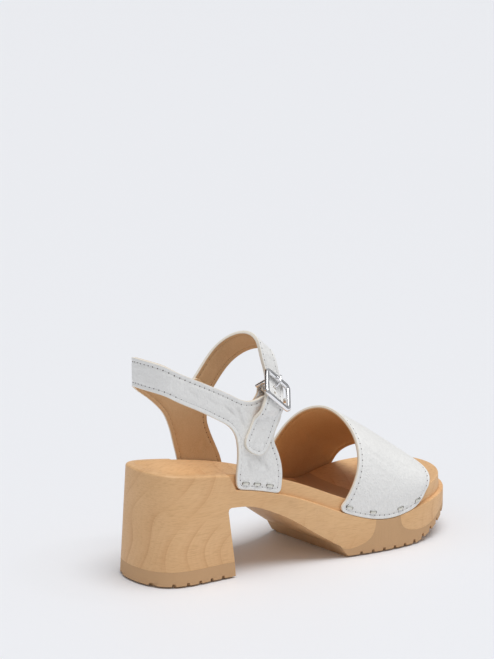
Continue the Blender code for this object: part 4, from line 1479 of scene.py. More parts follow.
@dataclass
class Seam:
    """Row of stitches along the edge of a piece of leather."""

    tree: StitchTree
    inset: float = Sheet.seam
    pitch: float = 3.8
    stitch_length: float = 2.7
    thread_radius: float = 0.26
    # Radius of the dark disc of painted shade in each needle hole
    hole_radius: float = 0.42
    sharp: float = 60.0

    def build(self, shop: Workshop, name: str, outline: Array, place: Place) -> None:
        """Sew the grain side and the lining of a piece.

        Args:
            shop: Workshop that takes the pieces.
            name: Name of the piece that is sewn.
            outline: Flat outline of the leather.
            place: Turns flat places and heights into points.
        """
        loop = inset_loop(outline, self.inset)
        count = len(loop)
        links = [(i, (i + 1) % count) for i in range(count)]
        surface, probe = LEATHER / 2 - Sheet.groove_depth, 0.5
        sizes = {"Pitch": self.pitch, "Stitch Length": self.stitch_length,
                 "Thread Radius": self.thread_radius, "Hole Radius": self.hole_radius}
        # Each side's thread, and the dark disc of painted shade in its needle holes
        threads = ((1.0, "grain", shop.palette.thread, shop.palette.hole),
                   (-1.0, "lining", shop.palette.lining_thread, shop.palette.lining_hole))
        for sign, side, thread, hole in threads:
            low, high = (place(loop[:, 0], loop[:, 1], np.full(count, sign * height))
                         for height in (surface, surface + probe))
            values = {**sizes, "Thread": thread, "Hole": hole}
            mesh = self.tree.run(low, links, {"outward": unit(high - low)}, values)
            shop.publish(f"{name}_{side}_stitches", mesh, (), Slot.LEATHER, (), self.sharp)


@dataclass
class Vamp:
    """Wide band over the forefoot, open at the throat and at the toe."""

    footprint: Footprint
    # Rows of (share from the inner to the outer edge, y of the throat edge, y of the toe edge)
    edges: Rows = ((-1.0, 112.0, 194.7), (-0.64, 128.8, 198.3), (0.0, 146.0, 201.3), (0.64, 143.0, 205.3),
                   (1.0, 126.5, 195.0))
    arch: float = 140.0
    wall: float = 8.0
    crest: Pair = (150.0, 87.4)
    crest_slope: float = -0.53
    crest_bend: float = -0.0019
    crest_shift: float = 3.0
    shoulder: float = 1.1
    seat_inset: float = 1.3
    corners: Pair = (7.0, 14.0)
    edge_steps: int = 130
    end_steps: int = 60
    # Rows of (across, y, far across, far y, half width, depth)
    creases: Rows = ((36.0, 150.0, 45.0, 172.0, 1.8, 0.14), (43.0, 150.0, 52.0, 168.0, 1.6, 0.12),
                     (40.0, 174.0, 47.0, 192.0, 1.6, 0.12), (51.0, 162.0, 58.0, 180.0, 1.6, 0.10),
                     (-36.0, 148.0, -45.0, 168.0, 1.8, 0.14), (-46.0, 154.0, -53.0, 174.0, 1.6, 0.12),
                     (-10.0, 168.0, 14.0, 172.0, 2.0, 0.10))

    @property
    def reach(self) -> float:
        """Return the distance along the leather from its middle to its lower edge."""
        return self.arch / 2 + self.wall

    def middle(self, across: Array, y: Array) -> Array:
        """Return points on the middle of the leather.

        Args:
            across: Distance from the middle line of the pattern.
            y: Place along the foot.

        Returns:
            Points, one row each.
        """
        foot = self.footprint
        outer = foot.side_x(y, Side.OUTER, -self.seat_inset)
        inner = foot.side_x(y, Side.INNER, -self.seat_inset)
        low = foot.ledge(y) + GAP
        past = y - self.crest[0]
        crest = self.crest[1] + self.crest_slope * past + self.crest_bend * past * past
        turn = math.pi * (0.5 - np.clip(across, -self.arch / 2, self.arch / 2) / self.arch)
        swing = signed_power(np.cos(turn), self.shoulder)
        x = (outer + inner) / 2 + (outer - inner) / 2 * swing + self.crest_shift * np.sin(turn)
        z = low + self.wall + (crest - low - self.wall) * np.sin(turn)
        return np.column_stack((x, y, z - np.maximum(0.0, np.abs(across) - self.arch / 2)))

    def place(self, across: Array, y: Array, lift: Array) -> Array:
        """Return points of the leather at a height above its middle.

        Args:
            across: Distance from the middle line of the pattern.
            y: Place along the foot.
            lift: Height above the middle of the leather.

        Returns:
            Points, one row each.
        """
        step = 0.4
        run = self.middle(across + step, y) - self.middle(across - step, y)
        length = self.middle(across, y + step) - self.middle(across, y - step)
        return self.middle(across, y) + unit(np.cross(run, length)) * np.asarray(lift)[:, None]

    def outline(self) -> Array:
        """Return the flat outline.

        Returns:
            Closed outline of (distance from the middle line, y).
        """
        rows = np.array(self.edges)
        across = np.linspace(-self.reach, self.reach, self.edge_steps)
        throat, toe = (np.column_stack((across, Spline(rows[:, 0] * self.reach, heights)(across)))
                       for heights in (rows[:, 1], rows[:, 2]))
        toe = toe[::-1]
        outer, inner = (np.linspace(start, end, self.end_steps)
                        for start, end in ((throat[-1], toe[0]), (toe[-1], throat[0])))
        rear, front = self.corners
        return rounded_outline((throat, outer, toe, inner), (rear, front, front, rear))

    def build(self, shop: Workshop, seam: Seam) -> None:
        """Build the leather and sew its edge.

        Args:
            shop: Workshop that takes the pieces.
            seam: Row of stitches.
        """
        outline = self.outline()
        mesh = Sheet().mesh(outline, self.place, self.creases)
        shop.publish("dressed_vamp", mesh, shop.palette.vamp_leather, Slot.LEATHER, ["vamp"])
        seam.build(shop, "vamp", outline, self.place)


@dataclass
class BackStraps:
    """Both quarters with the heel strap, and the ankle strap that starts on the inner quarter."""

    footprint: Footprint
    seat_inset: float = 1.3
    side_inset: float = 4.0
    back_inset: float = 5.5
    side_blend: Pair = (20.0, 60.0)
    lean: Pair = (66.0, 100.0)
    back_heights: Pair = (120.5, 139.0)
    # Rows of (y, z) on the two sides of the foot
    outer_low: Rows = ((7.0, 118.0), (16.6, 113.7), (30.8, 107.1), (44.0, 99.8), (51.5, 95.0), (55.6, 89.5),
                       (57.0, 82.0), (56.4, 72.0), (55.2, 62.0))
    outer_foot: Pair = (55.6, 86.4)
    outer_front: Rows = ((87.6, 62.6), (86.6, 69.3), (84.2, 77.4), (82.6, 83.5), (84.5, 89.5), (87.4, 94.8))
    outer_neck: Rows = ((88.6, 98.6), (77.0, 112.0))
    outer_high: Rows = ((72.0, 110.0), (66.0, 109.2), (60.0, 111.0), (53.0, 114.8), (41.0, 121.0),
                        (30.8, 125.9), (16.6, 132.3), (7.0, 136.4))
    inner_high: Rows = ((7.0, 136.4), (16.6, 132.3), (30.8, 125.9), (41.0, 121.0), (50.0, 116.8),
                        (57.0, 115.4))
    inner_neck: Rows = ((62.5, 116.4), (73.8, 105.4))
    inner_front: Rows = ((70.8, 97.0), (69.4, 90.0), (71.2, 83.0), (74.4, 76.0), (78.4, 68.0), (81.6, 59.5))
    inner_foot: Pair = (83.4, 50.2)
    inner_low: Rows = ((48.6, 66.0), (45.8, 75.5), (43.4, 83.0), (41.0, 89.0), (37.6, 95.6), (32.0, 102.0),
                       (25.0, 107.8), (16.6, 113.0), (7.0, 118.0))
    foot_corner: float = 4.0
    neck_corner: float = 2.0
    foot_steps: int = 40
    side_steps: int = 60
    # Rows of (x, y, z, tilt) along the middle of the ankle strap, from its lap to its free end
    strap: Rows = ((-24.9, 55.5, 93.8, 46.0), (-24.8, 64.0, 105.0, 46.0), (-23.9, 71.5, 115.0, 46.0),
                   (-19.5, 82.0, 130.0, 45.0), (-1.0, 91.5, 140.5, 42.0), (9.2, 91.6, 138.0, 40.0),
                   (14.8, 91.3, 128.0, 38.0), (18.8, 91.8, 116.6, 38.0), (25.6, 86.6, 111.4, 38.0),
                   (32.0, 81.3, 106.0, 38.0), (31.4, 74.4, 92.0, 34.0), (30.9, 65.6, 77.0, 32.0))
    strap_width: float = 17.0
    lap_sink: float = 0.8
    seat_blend: Pair = (97.0, 104.0)
    tail_round: float = 8.0
    lap_round: float = 3.0
    # Rows of (y, z, far y, far z, half width, depth) on both quarters
    creases: Rows = ((69.0, 77.5, 74.4, 66.0, 1.3, 0.5), (73.0, 76.0, 78.4, 62.5, 1.3, 0.45),
                     (63.5, 74.0, 65.5, 64.0, 1.3, 0.35), (46.0, 110.5, 57.0, 101.0, 1.0, 0.24),
                     (52.0, 111.5, 62.5, 100.5, 1.0, 0.30), (57.0, 106.5, 63.5, 92.0, 1.2, 0.38),
                     (49.0, 108.5, 60.0, 97.5, 0.8, 0.22), (54.5, 112.0, 66.0, 101.5, 0.8, 0.24),
                     (34.0, 117.5, 45.0, 108.0, 1.0, 0.20), (20.0, 124.0, 31.0, 115.0, 1.0, 0.16))
    # Rows of (along, across, far along, far across, half width, depth) on the ankle strap
    strap_creases: Rows = ((44.0, -4.5, 46.0, 4.5, 1.1, 0.4), (83.0, -4.5, 82.0, 4.5, 1.1, 0.45),
                           (87.5, -4.5, 88.5, 4.5, 1.1, 0.4), (132.0, -4.0, 130.0, 4.5, 1.1, 0.45))

    def __post_init__(self) -> None:
        """Work out the curves of the ankle strap."""
        rows = np.array(self.strap)
        lengths = chord_lengths(rows[:, :3])
        self.strap_middle = Spline(lengths, rows[:, :3])
        self.strap_tilt = Spline(lengths, np.radians(rows[:, 3]))
        self.strap_length = float(lengths[-1])

    def inset(self, s: Array, z: Array) -> Array:
        """Return how far inside the outline the middle of the leather stands.

        Args:
            s: Distances round the outline.
            z: Heights.

        Returns:
            Distances.
        """
        rise = smoothstep(z, self.lean)
        s = np.where(s > self.footprint.length / 2, s - self.footprint.length, s)
        side = smoothstep(np.abs(s), self.side_blend)
        top = self.back_inset + (self.side_inset - self.back_inset) * side
        return self.seat_inset + (top - self.seat_inset) * rise

    def around_heel(self, s: Array, z: Array, lift: Array) -> Array:
        """Return points around the heel from distances round the outline, heights and lifts."""
        point, normal = self.footprint.at(s)
        return np.column_stack((point + normal * (lift - self.inset(s, z))[:, None], z))

    def seat_x(self, y: Array, z: Array, side: Side, lift: float) -> Array:
        """Return x on a quarter at places along the foot and heights, lifted off its middle."""
        inset = self.inset(self.footprint.around(y, side), z)
        return self.footprint.side_x(y, side, -inset) + side.value * lift

    def on_side(self, side: Side, *lines: Rows) -> list[list[Pair]]:
        """Return lines of (y, z) rows as places on the pattern around the heel."""
        return [[(float(self.footprint.around(y, side)), z) for y, z in rows] for rows in lines]

    def foot_line(self, side: Side, ends: Pair) -> Array:
        """Return the lower edge of a quarter along the ledge."""
        y = np.linspace(ends[0], ends[1], self.foot_steps)
        return np.column_stack((self.footprint.around(y, side), self.footprint.ledge(y) + GAP))

    def quarters_outline(self) -> Array:
        """Return the flat outline of both quarters and the heel strap.

        Returns:
            Closed outline of (distance round the sole, height).
        """
        outer_low, outer_front, outer_neck, outer_high = self.on_side(
            Side.OUTER, self.outer_low, self.outer_front, self.outer_neck, self.outer_high)
        inner_low, inner_front, inner_neck, inner_high = self.on_side(
            Side.INNER, self.inner_low, self.inner_front, self.inner_neck, self.inner_high)
        outer_foot = self.foot_line(Side.OUTER, self.outer_foot)
        inner_foot = self.foot_line(Side.INNER, self.inner_foot)
        low_back, high_back = ((0.0, height) for height in self.back_heights)
        edges = (
            smooth_line([inner_foot[-1], *inner_low, low_back, *outer_low, outer_foot[0]]),
            outer_foot,
            smooth_line([outer_foot[-1], *outer_front, outer_neck[0]]),
            np.array(outer_neck),
            smooth_line([outer_neck[1], *outer_high, high_back, *inner_high, inner_neck[0]]),
            np.array(inner_neck),
            smooth_line([inner_neck[1], *inner_front, inner_foot[0]]),
            inner_foot,
        )
        foot, neck = self.foot_corner, self.neck_corner
        return rounded_outline(edges, (foot, foot, neck, neck, neck, neck, foot, foot))

    def quarter_creases(self) -> Rows:
        """Return the creases of both quarters on the pattern around the heel.

        Returns:
            Rows as in crease_height.
        """
        rows = []
        for side in Side:
            for y, z, far_y, far_z, half, depth in self.creases:
                start, end = self.footprint.around(np.array((y, far_y)), side)
                rows.append((start, z, end, far_z, half, depth))
        return tuple(rows)

    def strap_outline(self) -> Array:
        """Return the flat outline of the ankle strap.

        Returns:
            Closed outline of (distance along, distance across).
        """
        half, end = self.strap_width / 2, self.strap_length
        corners = np.array(((0.0, -half), (end, -half), (end, half), (0.0, half)))
        lines = [np.linspace(*pair, self.side_steps) for pair in zip(corners, np.roll(corners, -1, axis=0))]
        return rounded_outline(lines, (self.tail_round, self.tail_round, self.lap_round, self.lap_round))

    def strap_point(self, along: Any, across: Any) -> Array:
        """Return points on the middle of the strap's leather, seated on the quarters near its ends.

        Args:
            along: Distances along the strap.
            across: Distances from its middle line.

        Returns:
            Points, one row each.
        """
        along = np.atleast_1d(np.asarray(along, float))
        tilt = self.strap_tilt(along)
        width = np.column_stack((np.zeros_like(tilt), np.cos(tilt), -np.sin(tilt)))
        point = self.strap_middle(along) + width * np.broadcast_to(across, along.shape)[:, None]
        x, y, z = point.T
        share = 1.0 - smoothstep(z, self.seat_blend)
        outer = self.seat_x(y, z, Side.OUTER, LEATHER + GAP)
        inner = self.seat_x(y, z, Side.INNER, LEATHER - self.lap_sink)
        return np.column_stack((x + (np.where(x > 0.0, outer, inner) - x) * share, y, z))

    def strap_axes(self, along: Any, across: Any) -> tuple[Array, Array, Array]:
        """Return the strap's directions along, across and outward.

        Args:
            along: Distances along the strap.
            across: Distances from its middle line.

        Returns:
            Three sets of unit vectors.
        """
        step = 0.5
        along, across = np.atleast_1d(along), np.atleast_1d(across)
        run = unit(self.strap_point(along + step, across) - self.strap_point(along - step, across))
        width = self.strap_point(along, across + step) - self.strap_point(along, across - step)
        outward = unit(np.cross(run, width))
        return run, np.cross(outward, run), outward

    def strap_place(self, along: Array, across: Array, lift: Array) -> Array:
        """Return points of the ankle strap at a height above its middle."""
        outward = self.strap_axes(along, across)[2]
        return self.strap_point(along, across) + outward * np.asarray(lift)[:, None]

    def build(self, shop: Workshop, seam: Seam, holes: Sequence[Mesh]) -> None:
        """Build the leather as one piece, punch the strap and sew the edges.

        Args:
            shop: Workshop that takes the pieces.
            seam: Row of stitches.
            holes: Tools that punch the strap.
        """
        outline, strap_outline = self.quarters_outline(), self.strap_outline()
        quarters = Sheet().mesh(outline, self.around_heel, self.quarter_creases())
        strap = Sheet().mesh(strap_outline, self.strap_place, self.strap_creases)
        for mesh in (quarters, strap, *holes):
            for material in shop.palette.leather:
                mesh.materials.append(material)
        for hole in holes:
            for face in hole.polygons:
                face.material_index = Skin.EDGE.value
        tools = [(Carve.JOIN, strap)] + [(Carve.REMOVE, hole) for hole in holes]
        mesh = carved(quarters, tools)
        shop.publish("dressed_back_straps", mesh, shop.palette.leather, Slot.LEATHER, ["back_straps"])
        seam.build(shop, "quarter", outline, self.around_heel)
        seam.build(shop, "ankle_strap", strap_outline, self.strap_place)


# Buckle


@dataclass
class Buckle:
    """Frame with a centre bar, prong, and the leather tab that holds the bar."""

    straps: BackStraps
    height_on_strap: float = 111.8
    length: float = 24.0
    height: float = 23.5
    corner: float = 4.0
    inner_corner: float = 1.5
    side: float = 3.0
    top_bar: float = 3.8
    low_bar: float = 3.1
    thickness: float = 3.0
    section: float = 0.9
    section_corners: int = 20
    clearance: float = 0.6
    bar_radius: float = 0.9
    bar_depth: float = 4.1
    ear_half: float = 1.1
    ear_insets: Pair = (0.3, 0.2)
    ear_below_bar: float = 0.3
    # Height of an ear's tapered foot, and the share of its width that is left there
    ear_foot: Pair = (0.5, 0.7)
    ear_square: float = 0.5
    bar_into_ear: float = 0.8
    prong_radius: float = 0.8
    prong_step: float = 0.35
    # Start, stop and step in degrees of the prong's hook round the bar
    hook_angles: tuple[int, int, int] = (150, 361, 30)
    # Rows of (along, lift) up the prong's shank, and of (along, lift from its rest on the frame) at its tip
    shank: Rows = ((2.6, -2.9), (3.3, -1.6), (3.4, 0.2), (3.6, 1.9), (4.3, 3.4))
    tip: Rows = ((5.8, -0.5), (7.6, 0.0), (11.4, 0.0))
    tip_least: float = 0.02
    # Place along the buckle and radius of the prong's hole
    prong_hole: Pair = (3.4, 1.4)
    hole_pitch: float = 4.8
    hole_radius: float = 1.0
    punch_half: float = 4.0
    tab_leather: float = 1.4
    tab_round: float = 0.25
    tab_cell: float = 0.8
    tab_step: float = 0.4
    tab_width: float = 17.4
    # Width and length of the slot for the prong
    tab_slot: Pair = (3.6, 13.0)
    # Rows of (y, z, inset) where the tab is lapped inside the outer quarter
    tab_lap: Rows = ((72.0, 93.0, 1.0), (77.0, 100.5, 2.2))
    # Start, stop and step in degrees of the tab's loop round the bar, and its end past the loop
    loop_angles: tuple[int, int, int] = (-100, 91, 19)
    loop_end: Pair = (-3.0, -0.3)
    frame_sharp: float = 50.0
    sharp: float = 40.0

    def __post_init__(self) -> None:
        """Work out the buckle's own directions."""
        straps = self.straps
        samples = 400
        places = np.linspace(straps.strap_length / 2, straps.strap_length, samples)
        heights = straps.strap_point(places, 0.0)[:, 2]
        middle = float(np.interp(-self.height_on_strap, -heights, places))
        reach = (self.height - self.top_bar) / 2
        top, low = straps.strap_point(np.array([middle - reach, middle + reach]), 0.0)
        self.along = unit(top - low)
        across = straps.strap_axes(middle, 0.0)[1][0]
        self.across = unit(across - self.along * across.dot(self.along))
        outward = np.cross(self.across, self.along)
        self.outward = outward if outward[0] > 0.0 else -outward
        self.centre = (top + low) / 2
        self.face = LEATHER / 2 + self.clearance + self.thickness / 2

    def placed(self, along: Any, across: Any, lift: Any) -> Array:
        """Return points given up the strap, across it and above it from the middle of the frame."""
        ways = zip((self.along, self.across, self.outward),
                   np.broadcast_arrays(np.atleast_1d(along), across, lift))
        return self.centre + sum(part[:, None] * way for way, part in ways)

    def holes(self) -> list[Mesh]:
        """Return the tools that punch the strap, the prong's hole first.

        Returns:
            One closed mesh for each hole.
        """
        tools = []
        first, wide = self.prong_hole
        for i, radius in enumerate((wide, self.hole_radius, self.hole_radius)):
            at = first - i * self.hole_pitch
            path = ((at, -self.punch_half), (at, self.punch_half))
            points, faces = swept(path, radius, radius, corners=self.section_corners)
            tools.append(mesh_of("strap_hole", self.placed(*points.T), faces))
        return tools

    def ring(self) -> Shape:
        """Return the rounded frame.

        Returns:
            Points and faces.
        """
        half = np.array((self.length / 2, self.height / 2))
        outer = rounded_rectangle(-half, half, self.corner)
        inner = rounded_rectangle(-half + (self.side, self.low_bar), half - (self.side, self.top_bar),
                                  self.inner_corner)
        wide, deep = round_section(self.section_corners, self.section)
        flat = inner[:, None, :] + (outer - inner)[:, None, :] * (0.5 + 0.5 * wide)[None, :, None]
        lift = np.tile(self.face + self.thickness / 2 * deep, len(outer))
        points = self.placed(flat[:, :, 1].ravel(), flat[:, :, 0].ravel(), lift)
        return points, band_faces(len(outer), self.section_corners, closed=True)

    def bar_and_ears(self) -> list[Shape]:
        """Return the centre bar and the two ears that carry it.

        Returns:
            Points and faces of each shape.
        """
        low = self.length / 2 - self.side + self.ear_insets[1]
        high = self.length / 2 - self.ear_insets[0]
        depth = self.bar_depth + self.bar_radius + self.ear_below_bar
        foot_height, foot_share = self.ear_foot
        path = ((0.0, -depth), (0.0, -depth + foot_height), (0.0, self.face))
        shapes = []
        for sign in (1.0, -1.0):
            half_depth = np.array((foot_share, 1.0, 1.0)) * self.ear_half
            points, faces = swept(path, (high - low) / 2, half_depth, self.ear_square)
            points[:, 1] += sign * (high + low) / 2
            shapes.append((self.placed(*points.T), faces))
        end = low + self.bar_into_ear
        points, faces = swept(((-end, 0.0), (end, 0.0)), self.bar_radius, self.bar_radius)
        shapes.append((self.placed(points[:, 1], points[:, 0], points[:, 2] - self.bar_depth), faces))
        return shapes

    def prong(self) -> Shape:
        """Return the prong: a hook on the centre bar, a shank through the strap and a tip on the top bar.

        Returns:
            Points and faces.
        """
        around = self.bar_radius + GAP + self.prong_radius
        rest = self.face + self.thickness / 2 + GAP + self.prong_radius
        hook = [(around * math.cos(angle), around * math.sin(angle) - self.bar_depth)
                for angle in np.radians(range(*self.hook_angles))]
        tip = [(along, rest + lift) for along, lift in self.tip]
        path = smooth_line([*hook, *self.shank, *tip], self.prong_step)
        lengths = chord_lengths(path)
        left = np.clip((lengths[-1] - lengths) / self.prong_radius, self.tip_least, 1.0)
        radius = self.prong_radius * np.sqrt(left)
        points, faces = swept(path, radius, radius)
        return self.placed(*points.T), faces

    def tab(self) -> Mesh:
        """Return the forked leather tab that loops over the centre bar beside the prong.

        Returns:
            Mesh of the leather.
        """
        loop = self.bar_radius + GAP + self.tab_leather / 2
        under = -(LEATHER / 2 + GAP + self.tab_leather / 2)
        line = []
        for y, z, inset in self.tab_lap:
            x = self.straps.seat_x(np.array([y]), np.array([z]), Side.OUTER, under - inset)[0]
            line.append((x, y, z))
        turn = np.radians(range(*self.loop_angles))
        line.extend(self.placed(loop * np.cos(turn), 0.0, loop * np.sin(turn) - self.bar_depth))
        line.extend(self.placed(self.loop_end[0], 0.0, loop - self.bar_depth + self.loop_end[1]))
        path = smooth_line(line, self.tab_step)
        lengths = chord_lengths(path)
        outward = unit(np.cross(unit(np.gradient(path, axis=0)), self.across))
        if np.sum(outward * (path - self.placed(0.0, 0.0, -self.bar_depth))) < 0.0:
            outward = -outward

        def place(along: Array, across: Array, lift: Array) -> Array:
            """Return points of the tab."""
            lifted = unit(sampled(along, lengths, outward)) * lift[:, None]
            return sampled(along, lengths, path) + self.across * across[:, None] + lifted

        half, slot, end = self.tab_width / 2, self.tab_slot[0] / 2, lengths[-1]
        fork = end - self.tab_slot[1]
        outline = np.array(((0.0, -half), (end, -half), (end, -slot), (fork, -slot),
                            (fork, slot), (end, slot), (end, half), (0.0, half)))
        sheet = Sheet(self.tab_leather, self.tab_round, self.tab_cell, groove_depth=0.0)
        return sheet.mesh(outline, place)

    def build(self, shop: Workshop) -> None:
        """Build and dress the frame, the prong and the tab.

        Args:
            shop: Workshop that takes the pieces.
        """
        chrome, folded = [shop.palette.chrome], shop.palette.folded_leather
        frame_mesh = joined("buckle_frame", [self.ring()] + self.bar_and_ears())
        prong_mesh = joined("buckle_prong", [self.prong()])
        for node, mesh, materials, slot, sharp in (
            ("buckle_frame", frame_mesh, chrome, Slot.BUCKLE, self.frame_sharp),
            ("buckle_prong", prong_mesh, chrome, Slot.BUCKLE, self.sharp),
            ("buckle_tab", self.tab(), folded, Slot.LEATHER, self.sharp),
        ):
            shop.publish(f"dressed_{node}", mesh, materials, slot, [node], sharp)


# Staples


@dataclass
class Staples:
    """Flat wire staples along the lower edges of the quarters and the vamp."""

    straps: BackStraps
    vamp: Vamp
    above_ledge: float = 4.6
    half_crown: float = 2.0
    half_width: float = 0.75
    half_wire: float = 0.26
    wire_square: float = 0.6
    corners: int = 12
    crown_step: float = 0.3
    # Rows of (distance from the end of the crown, height) from the foot of a leg, and the crown's top
    crown_end: Rows = ((0.0, -0.7), (0.0, -0.1), (0.25, 0.32), (0.8, 0.46))
    crown_top: float = 0.5
    # Half sizes of a leg's pit, a dark plug of painted shade, along and across the staple, and its heights
    pit_halves: Pair = (0.75, 0.95)
    pit_heights: Pair = (0.05, -0.3)
    probe: float = 1.0
    sharp: float = 50.0
    # Rows of (side, places along the foot)
    quarter_rows: SideRows = ((Side.OUTER, (61.7, 69.9, 78.8)), (Side.INNER, (58.0, 66.6, 75.4)))
    vamp_rows: SideRows = ((Side.OUTER, (134.6, 151.8, 173.5, 189.0)),
                           (Side.INNER, (122.0, 145.0, 168.0, 187.0)))

    def on_quarter(self, side: Side, y: Array) -> tuple[Array, Array]:
        """Return places on the flat pattern of the quarters."""
        foot = self.straps.footprint
        return foot.around(y, side), foot.ledge(y) + self.above_ledge

    def on_vamp(self, side: Side, y: Array) -> tuple[Array, Array]:
        """Return places on the flat pattern of the vamp."""
        return np.full(len(y), side.value * (self.vamp.reach - self.above_ledge)), y

    def seats(self) -> tuple[Array, Array, Array, list[str]]:
        """Return each staple's place on the leather, its directions and its solid.

        Returns:
            Places, directions along, directions outward and node names.
        """
        seats, nodes = [], []
        for kind, pattern, place, rows in (
            ("quarter", self.on_quarter, self.straps.around_heel, self.quarter_rows),
            ("vamp", self.on_vamp, self.vamp.place, self.vamp_rows),
        ):
            for side, places in rows:
                y, up = np.array(places), np.full(len(places), LEATHER / 2)
                here, ahead = (pattern(side, at) for at in (y, y + self.probe))
                seats.append((place(*here, up), place(*ahead, up), place(*here, up + self.probe)))
                nodes += [f"staple_{kind}_{side.name.lower()}_{i + 1}" for i in range(len(places))]
        place, ahead, outward = (np.vstack(points) for points in zip(*seats))
        return place, unit(ahead - place), unit(outward - place), nodes

    def crown(self) -> Mesh:
        """Return one staple's crown with its two legs going into the leather.

        Returns:
            Closed mesh.
        """
        half = self.half_crown
        first = [(-half + inward, height) for inward, height in self.crown_end]
        last = [(half - inward, height) for inward, height in self.crown_end[::-1]]
        path = smooth_line([*first, (0.0, self.crown_top), *last], self.crown_step)
        wire = swept(path, self.half_width, self.half_wire, self.wire_square, self.corners)
        return joined("staple_crown", [wire])

    def painted_pit_shade(self) -> Mesh:
        """Return the two dark plugs of painted shade where the legs go into the leather.

        Returns:
            Closed mesh.
        """
        wide, deep = (half * part for half, part in zip(self.pit_halves, round_section(self.corners)))
        shapes = []
        for sign in (1.0, -1.0):
            rings = [np.column_stack((sign * self.half_crown + wide, deep, np.full(self.corners, height)))
                     for height in self.pit_heights]
            shapes.append((np.vstack(rings), tube_faces(len(rings), self.corners)))
        return joined("staple_pits", shapes)

    def build(self, shop: Workshop) -> None:
        """Set all staples with a geometry node tree and dress them.

        Args:
            shop: Workshop that takes the pieces.
        """
        place, along, outward, nodes = self.seats()
        tree = RowTree("staple_row", {"Size": "NodeSocketFloat"})
        sockets = {"Points": tree.given["Geometry"], "Rotation": tree.turned(tree.way("along")),
                   "Scale": tree.given["Size"]}
        helpers = []
        # The crown in metal, and the pits in the dark painted shade of the needle holes
        for mesh, material in ((self.crown(), shop.palette.staple), (self.painted_pit_shade(), shop.palette.hole)):
            helpers.append(bpy.data.objects.new(mesh.name, mesh))
            shape = tree.node("GeometryNodeObjectInfo", None, {"Object": helpers[-1]})
            tree.set_row(shape.outputs["Geometry"], sockets, material)
        row = tree.run(place, [], {"along": along, "outward": outward}, {"Size": 1.0})
        for helper in helpers:
            bpy.data.objects.remove(helper)
        shop.publish("dressed_staples", row, (), Slot.STAPLE, nodes, self.sharp)


# Studio


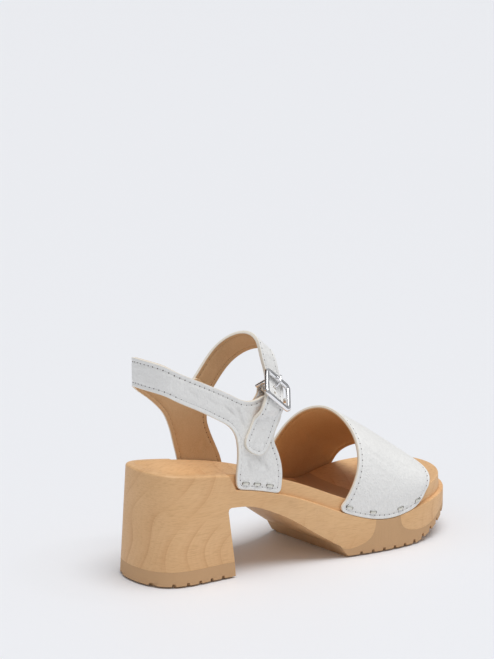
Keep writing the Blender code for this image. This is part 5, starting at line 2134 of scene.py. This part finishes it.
@dataclass
class Studio:
    """Pale floor, soft light and the camera at the photograph's angle."""

    azimuth: float = 51.94
    elevation: float = 11.46
    aim: Triple = (-0.0276, -0.0117, 0.1406)
    distance: float = 1.5
    lens: float = 127.3
    sensor: float = 36.0
    sight: float = 50.0
    floor_half: float = 12.0
    floor_colour: Colour = (0.845, 0.855, 0.885)
    floor_roughness: float = 0.6
    sky: Colour = (0.97, 0.98, 1.0)
    sky_strength: float = 0.40
    key_from: Triple = (0.18, 0.08, 0.98)
    key_strength: float = 2.1
    key_spread: float = 45.0
    # Rows of (x, y, z of the direction, width, height) of the dark cards that polished metal mirrors
    cards: Rows = ((-0.54, -0.16, 0.80, 2.2, 1.9), (-0.42, 0.90, 0.12, 1.0, 0.6),
                   (0.55, 0.83, 0.10, 0.5, 0.8), (-0.25, -0.95, 0.10, 2.0, 1.0))
    card_distance: float = 2.0
    card_colour: Colour = (0.012, 0.012, 0.013)
    card_roughness: float = 0.9
    # Signs of a panel's corners in order
    corners: Rows = ((-1.0, -1.0), (1.0, -1.0), (1.0, 1.0), (-1.0, 1.0))

    def camera(self) -> None:
        """Set up the camera."""
        data = bpy.data.cameras.new("camera")
        data.lens = self.lens
        data.sensor_width = self.sensor
        data.clip_end = self.sight
        camera = linked(bpy.data.objects.new("camera", data))
        turn, lift = math.radians(self.azimuth), math.radians(self.elevation)
        back = Vector((math.sin(turn) * math.cos(lift), -math.cos(turn) * math.cos(lift), math.sin(lift)))
        camera.location = Vector(self.aim) + back * self.distance
        camera.rotation_euler = (math.pi / 2 - lift, 0.0, turn)
        bpy.context.scene.camera = camera

    def panel(self, name: str, material: Material, corners: Sequence[Any]) -> bpy.types.Object:
        """Make a flat panel.

        Args:
            name: Name of the panel.
            material: Its material.
            corners: Its four corners in order.

        Returns:
            Object of the panel.
        """
        mesh = bpy.data.meshes.new(name)
        mesh.from_pydata([tuple(corner) for corner in corners], [], [(0, 1, 2, 3)])
        mesh.materials.append(material)
        return linked(bpy.data.objects.new(name, mesh))

    def floor(self) -> None:
        """Lay the floor."""
        half = self.floor_half
        material = Shader("studio_floor").dressed(self.floor_colour, self.floor_roughness)
        corners = [(a * half, b * half, 0.0) for a, b in self.corners]
        floor = self.panel("studio_floor", material, corners)

    def light(self) -> None:
        """Set up the sky and a broad soft light from above."""
        world = bpy.data.worlds.new("studio_sky")
        bpy.context.scene.world = world
        world.use_nodes = True
        background = world.node_tree.nodes["Background"]
        background.inputs["Color"].default_value = (*self.sky, 1.0)
        background.inputs["Strength"].default_value = self.sky_strength
        data = bpy.data.lights.new("soft_key", "SUN")
        data.energy = self.key_strength
        data.angle = math.radians(self.key_spread)
        key = linked(bpy.data.objects.new("soft_key", data))
        key.rotation_euler = Vector(self.key_from).to_track_quat("Z", "Y").to_euler()
        bpy.context.scene.view_settings.view_transform = "Standard"

    def dark_cards(self) -> None:
        """Hang dark cards around the stage that show only in reflections."""
        material = Shader("dark_card").dressed(self.card_colour, self.card_roughness)
        for i, (x, y, z, width, height) in enumerate(self.cards):
            way = unit(np.array((x, y, z)))
            across = unit(np.cross((0.0, 0.0, 1.0), way)) * width / 2
            up = unit(np.cross(way, across)) * height / 2
            corners = [way * self.card_distance + a * across + b * up for a, b in self.corners]
            card = self.panel(f"dark_card_{i + 1}", material, corners)
            card.visible_camera = card.visible_diffuse = card.visible_shadow = False
            card.visible_transmission = card.visible_volume_scatter = False

    def build(self) -> None:
        """Set up camera, floor, light and cards."""
        self.camera()
        self.floor()
        self.light()
        self.dark_cards()
        LOG.info("studio: camera, floor, light and cards")


def main() -> None:
    """Build the sandal's pieces in order."""
    logging.basicConfig(level=logging.INFO, format="%(name)s %(message)s")
    footprint = Footprint()
    shop = Workshop(footprint, Palette())
    seam = Seam(StitchTree())
    straps = BackStraps(footprint)
    vamp = Vamp(footprint)
    buckle = Buckle(straps)
    Sole(footprint).build(shop)
    vamp.build(shop, seam)
    straps.build(shop, seam, buckle.holes())
    buckle.build(shop)
    Staples(straps, vamp).build(shop)
    Studio().build()


if __name__ == "__main__":
    main()
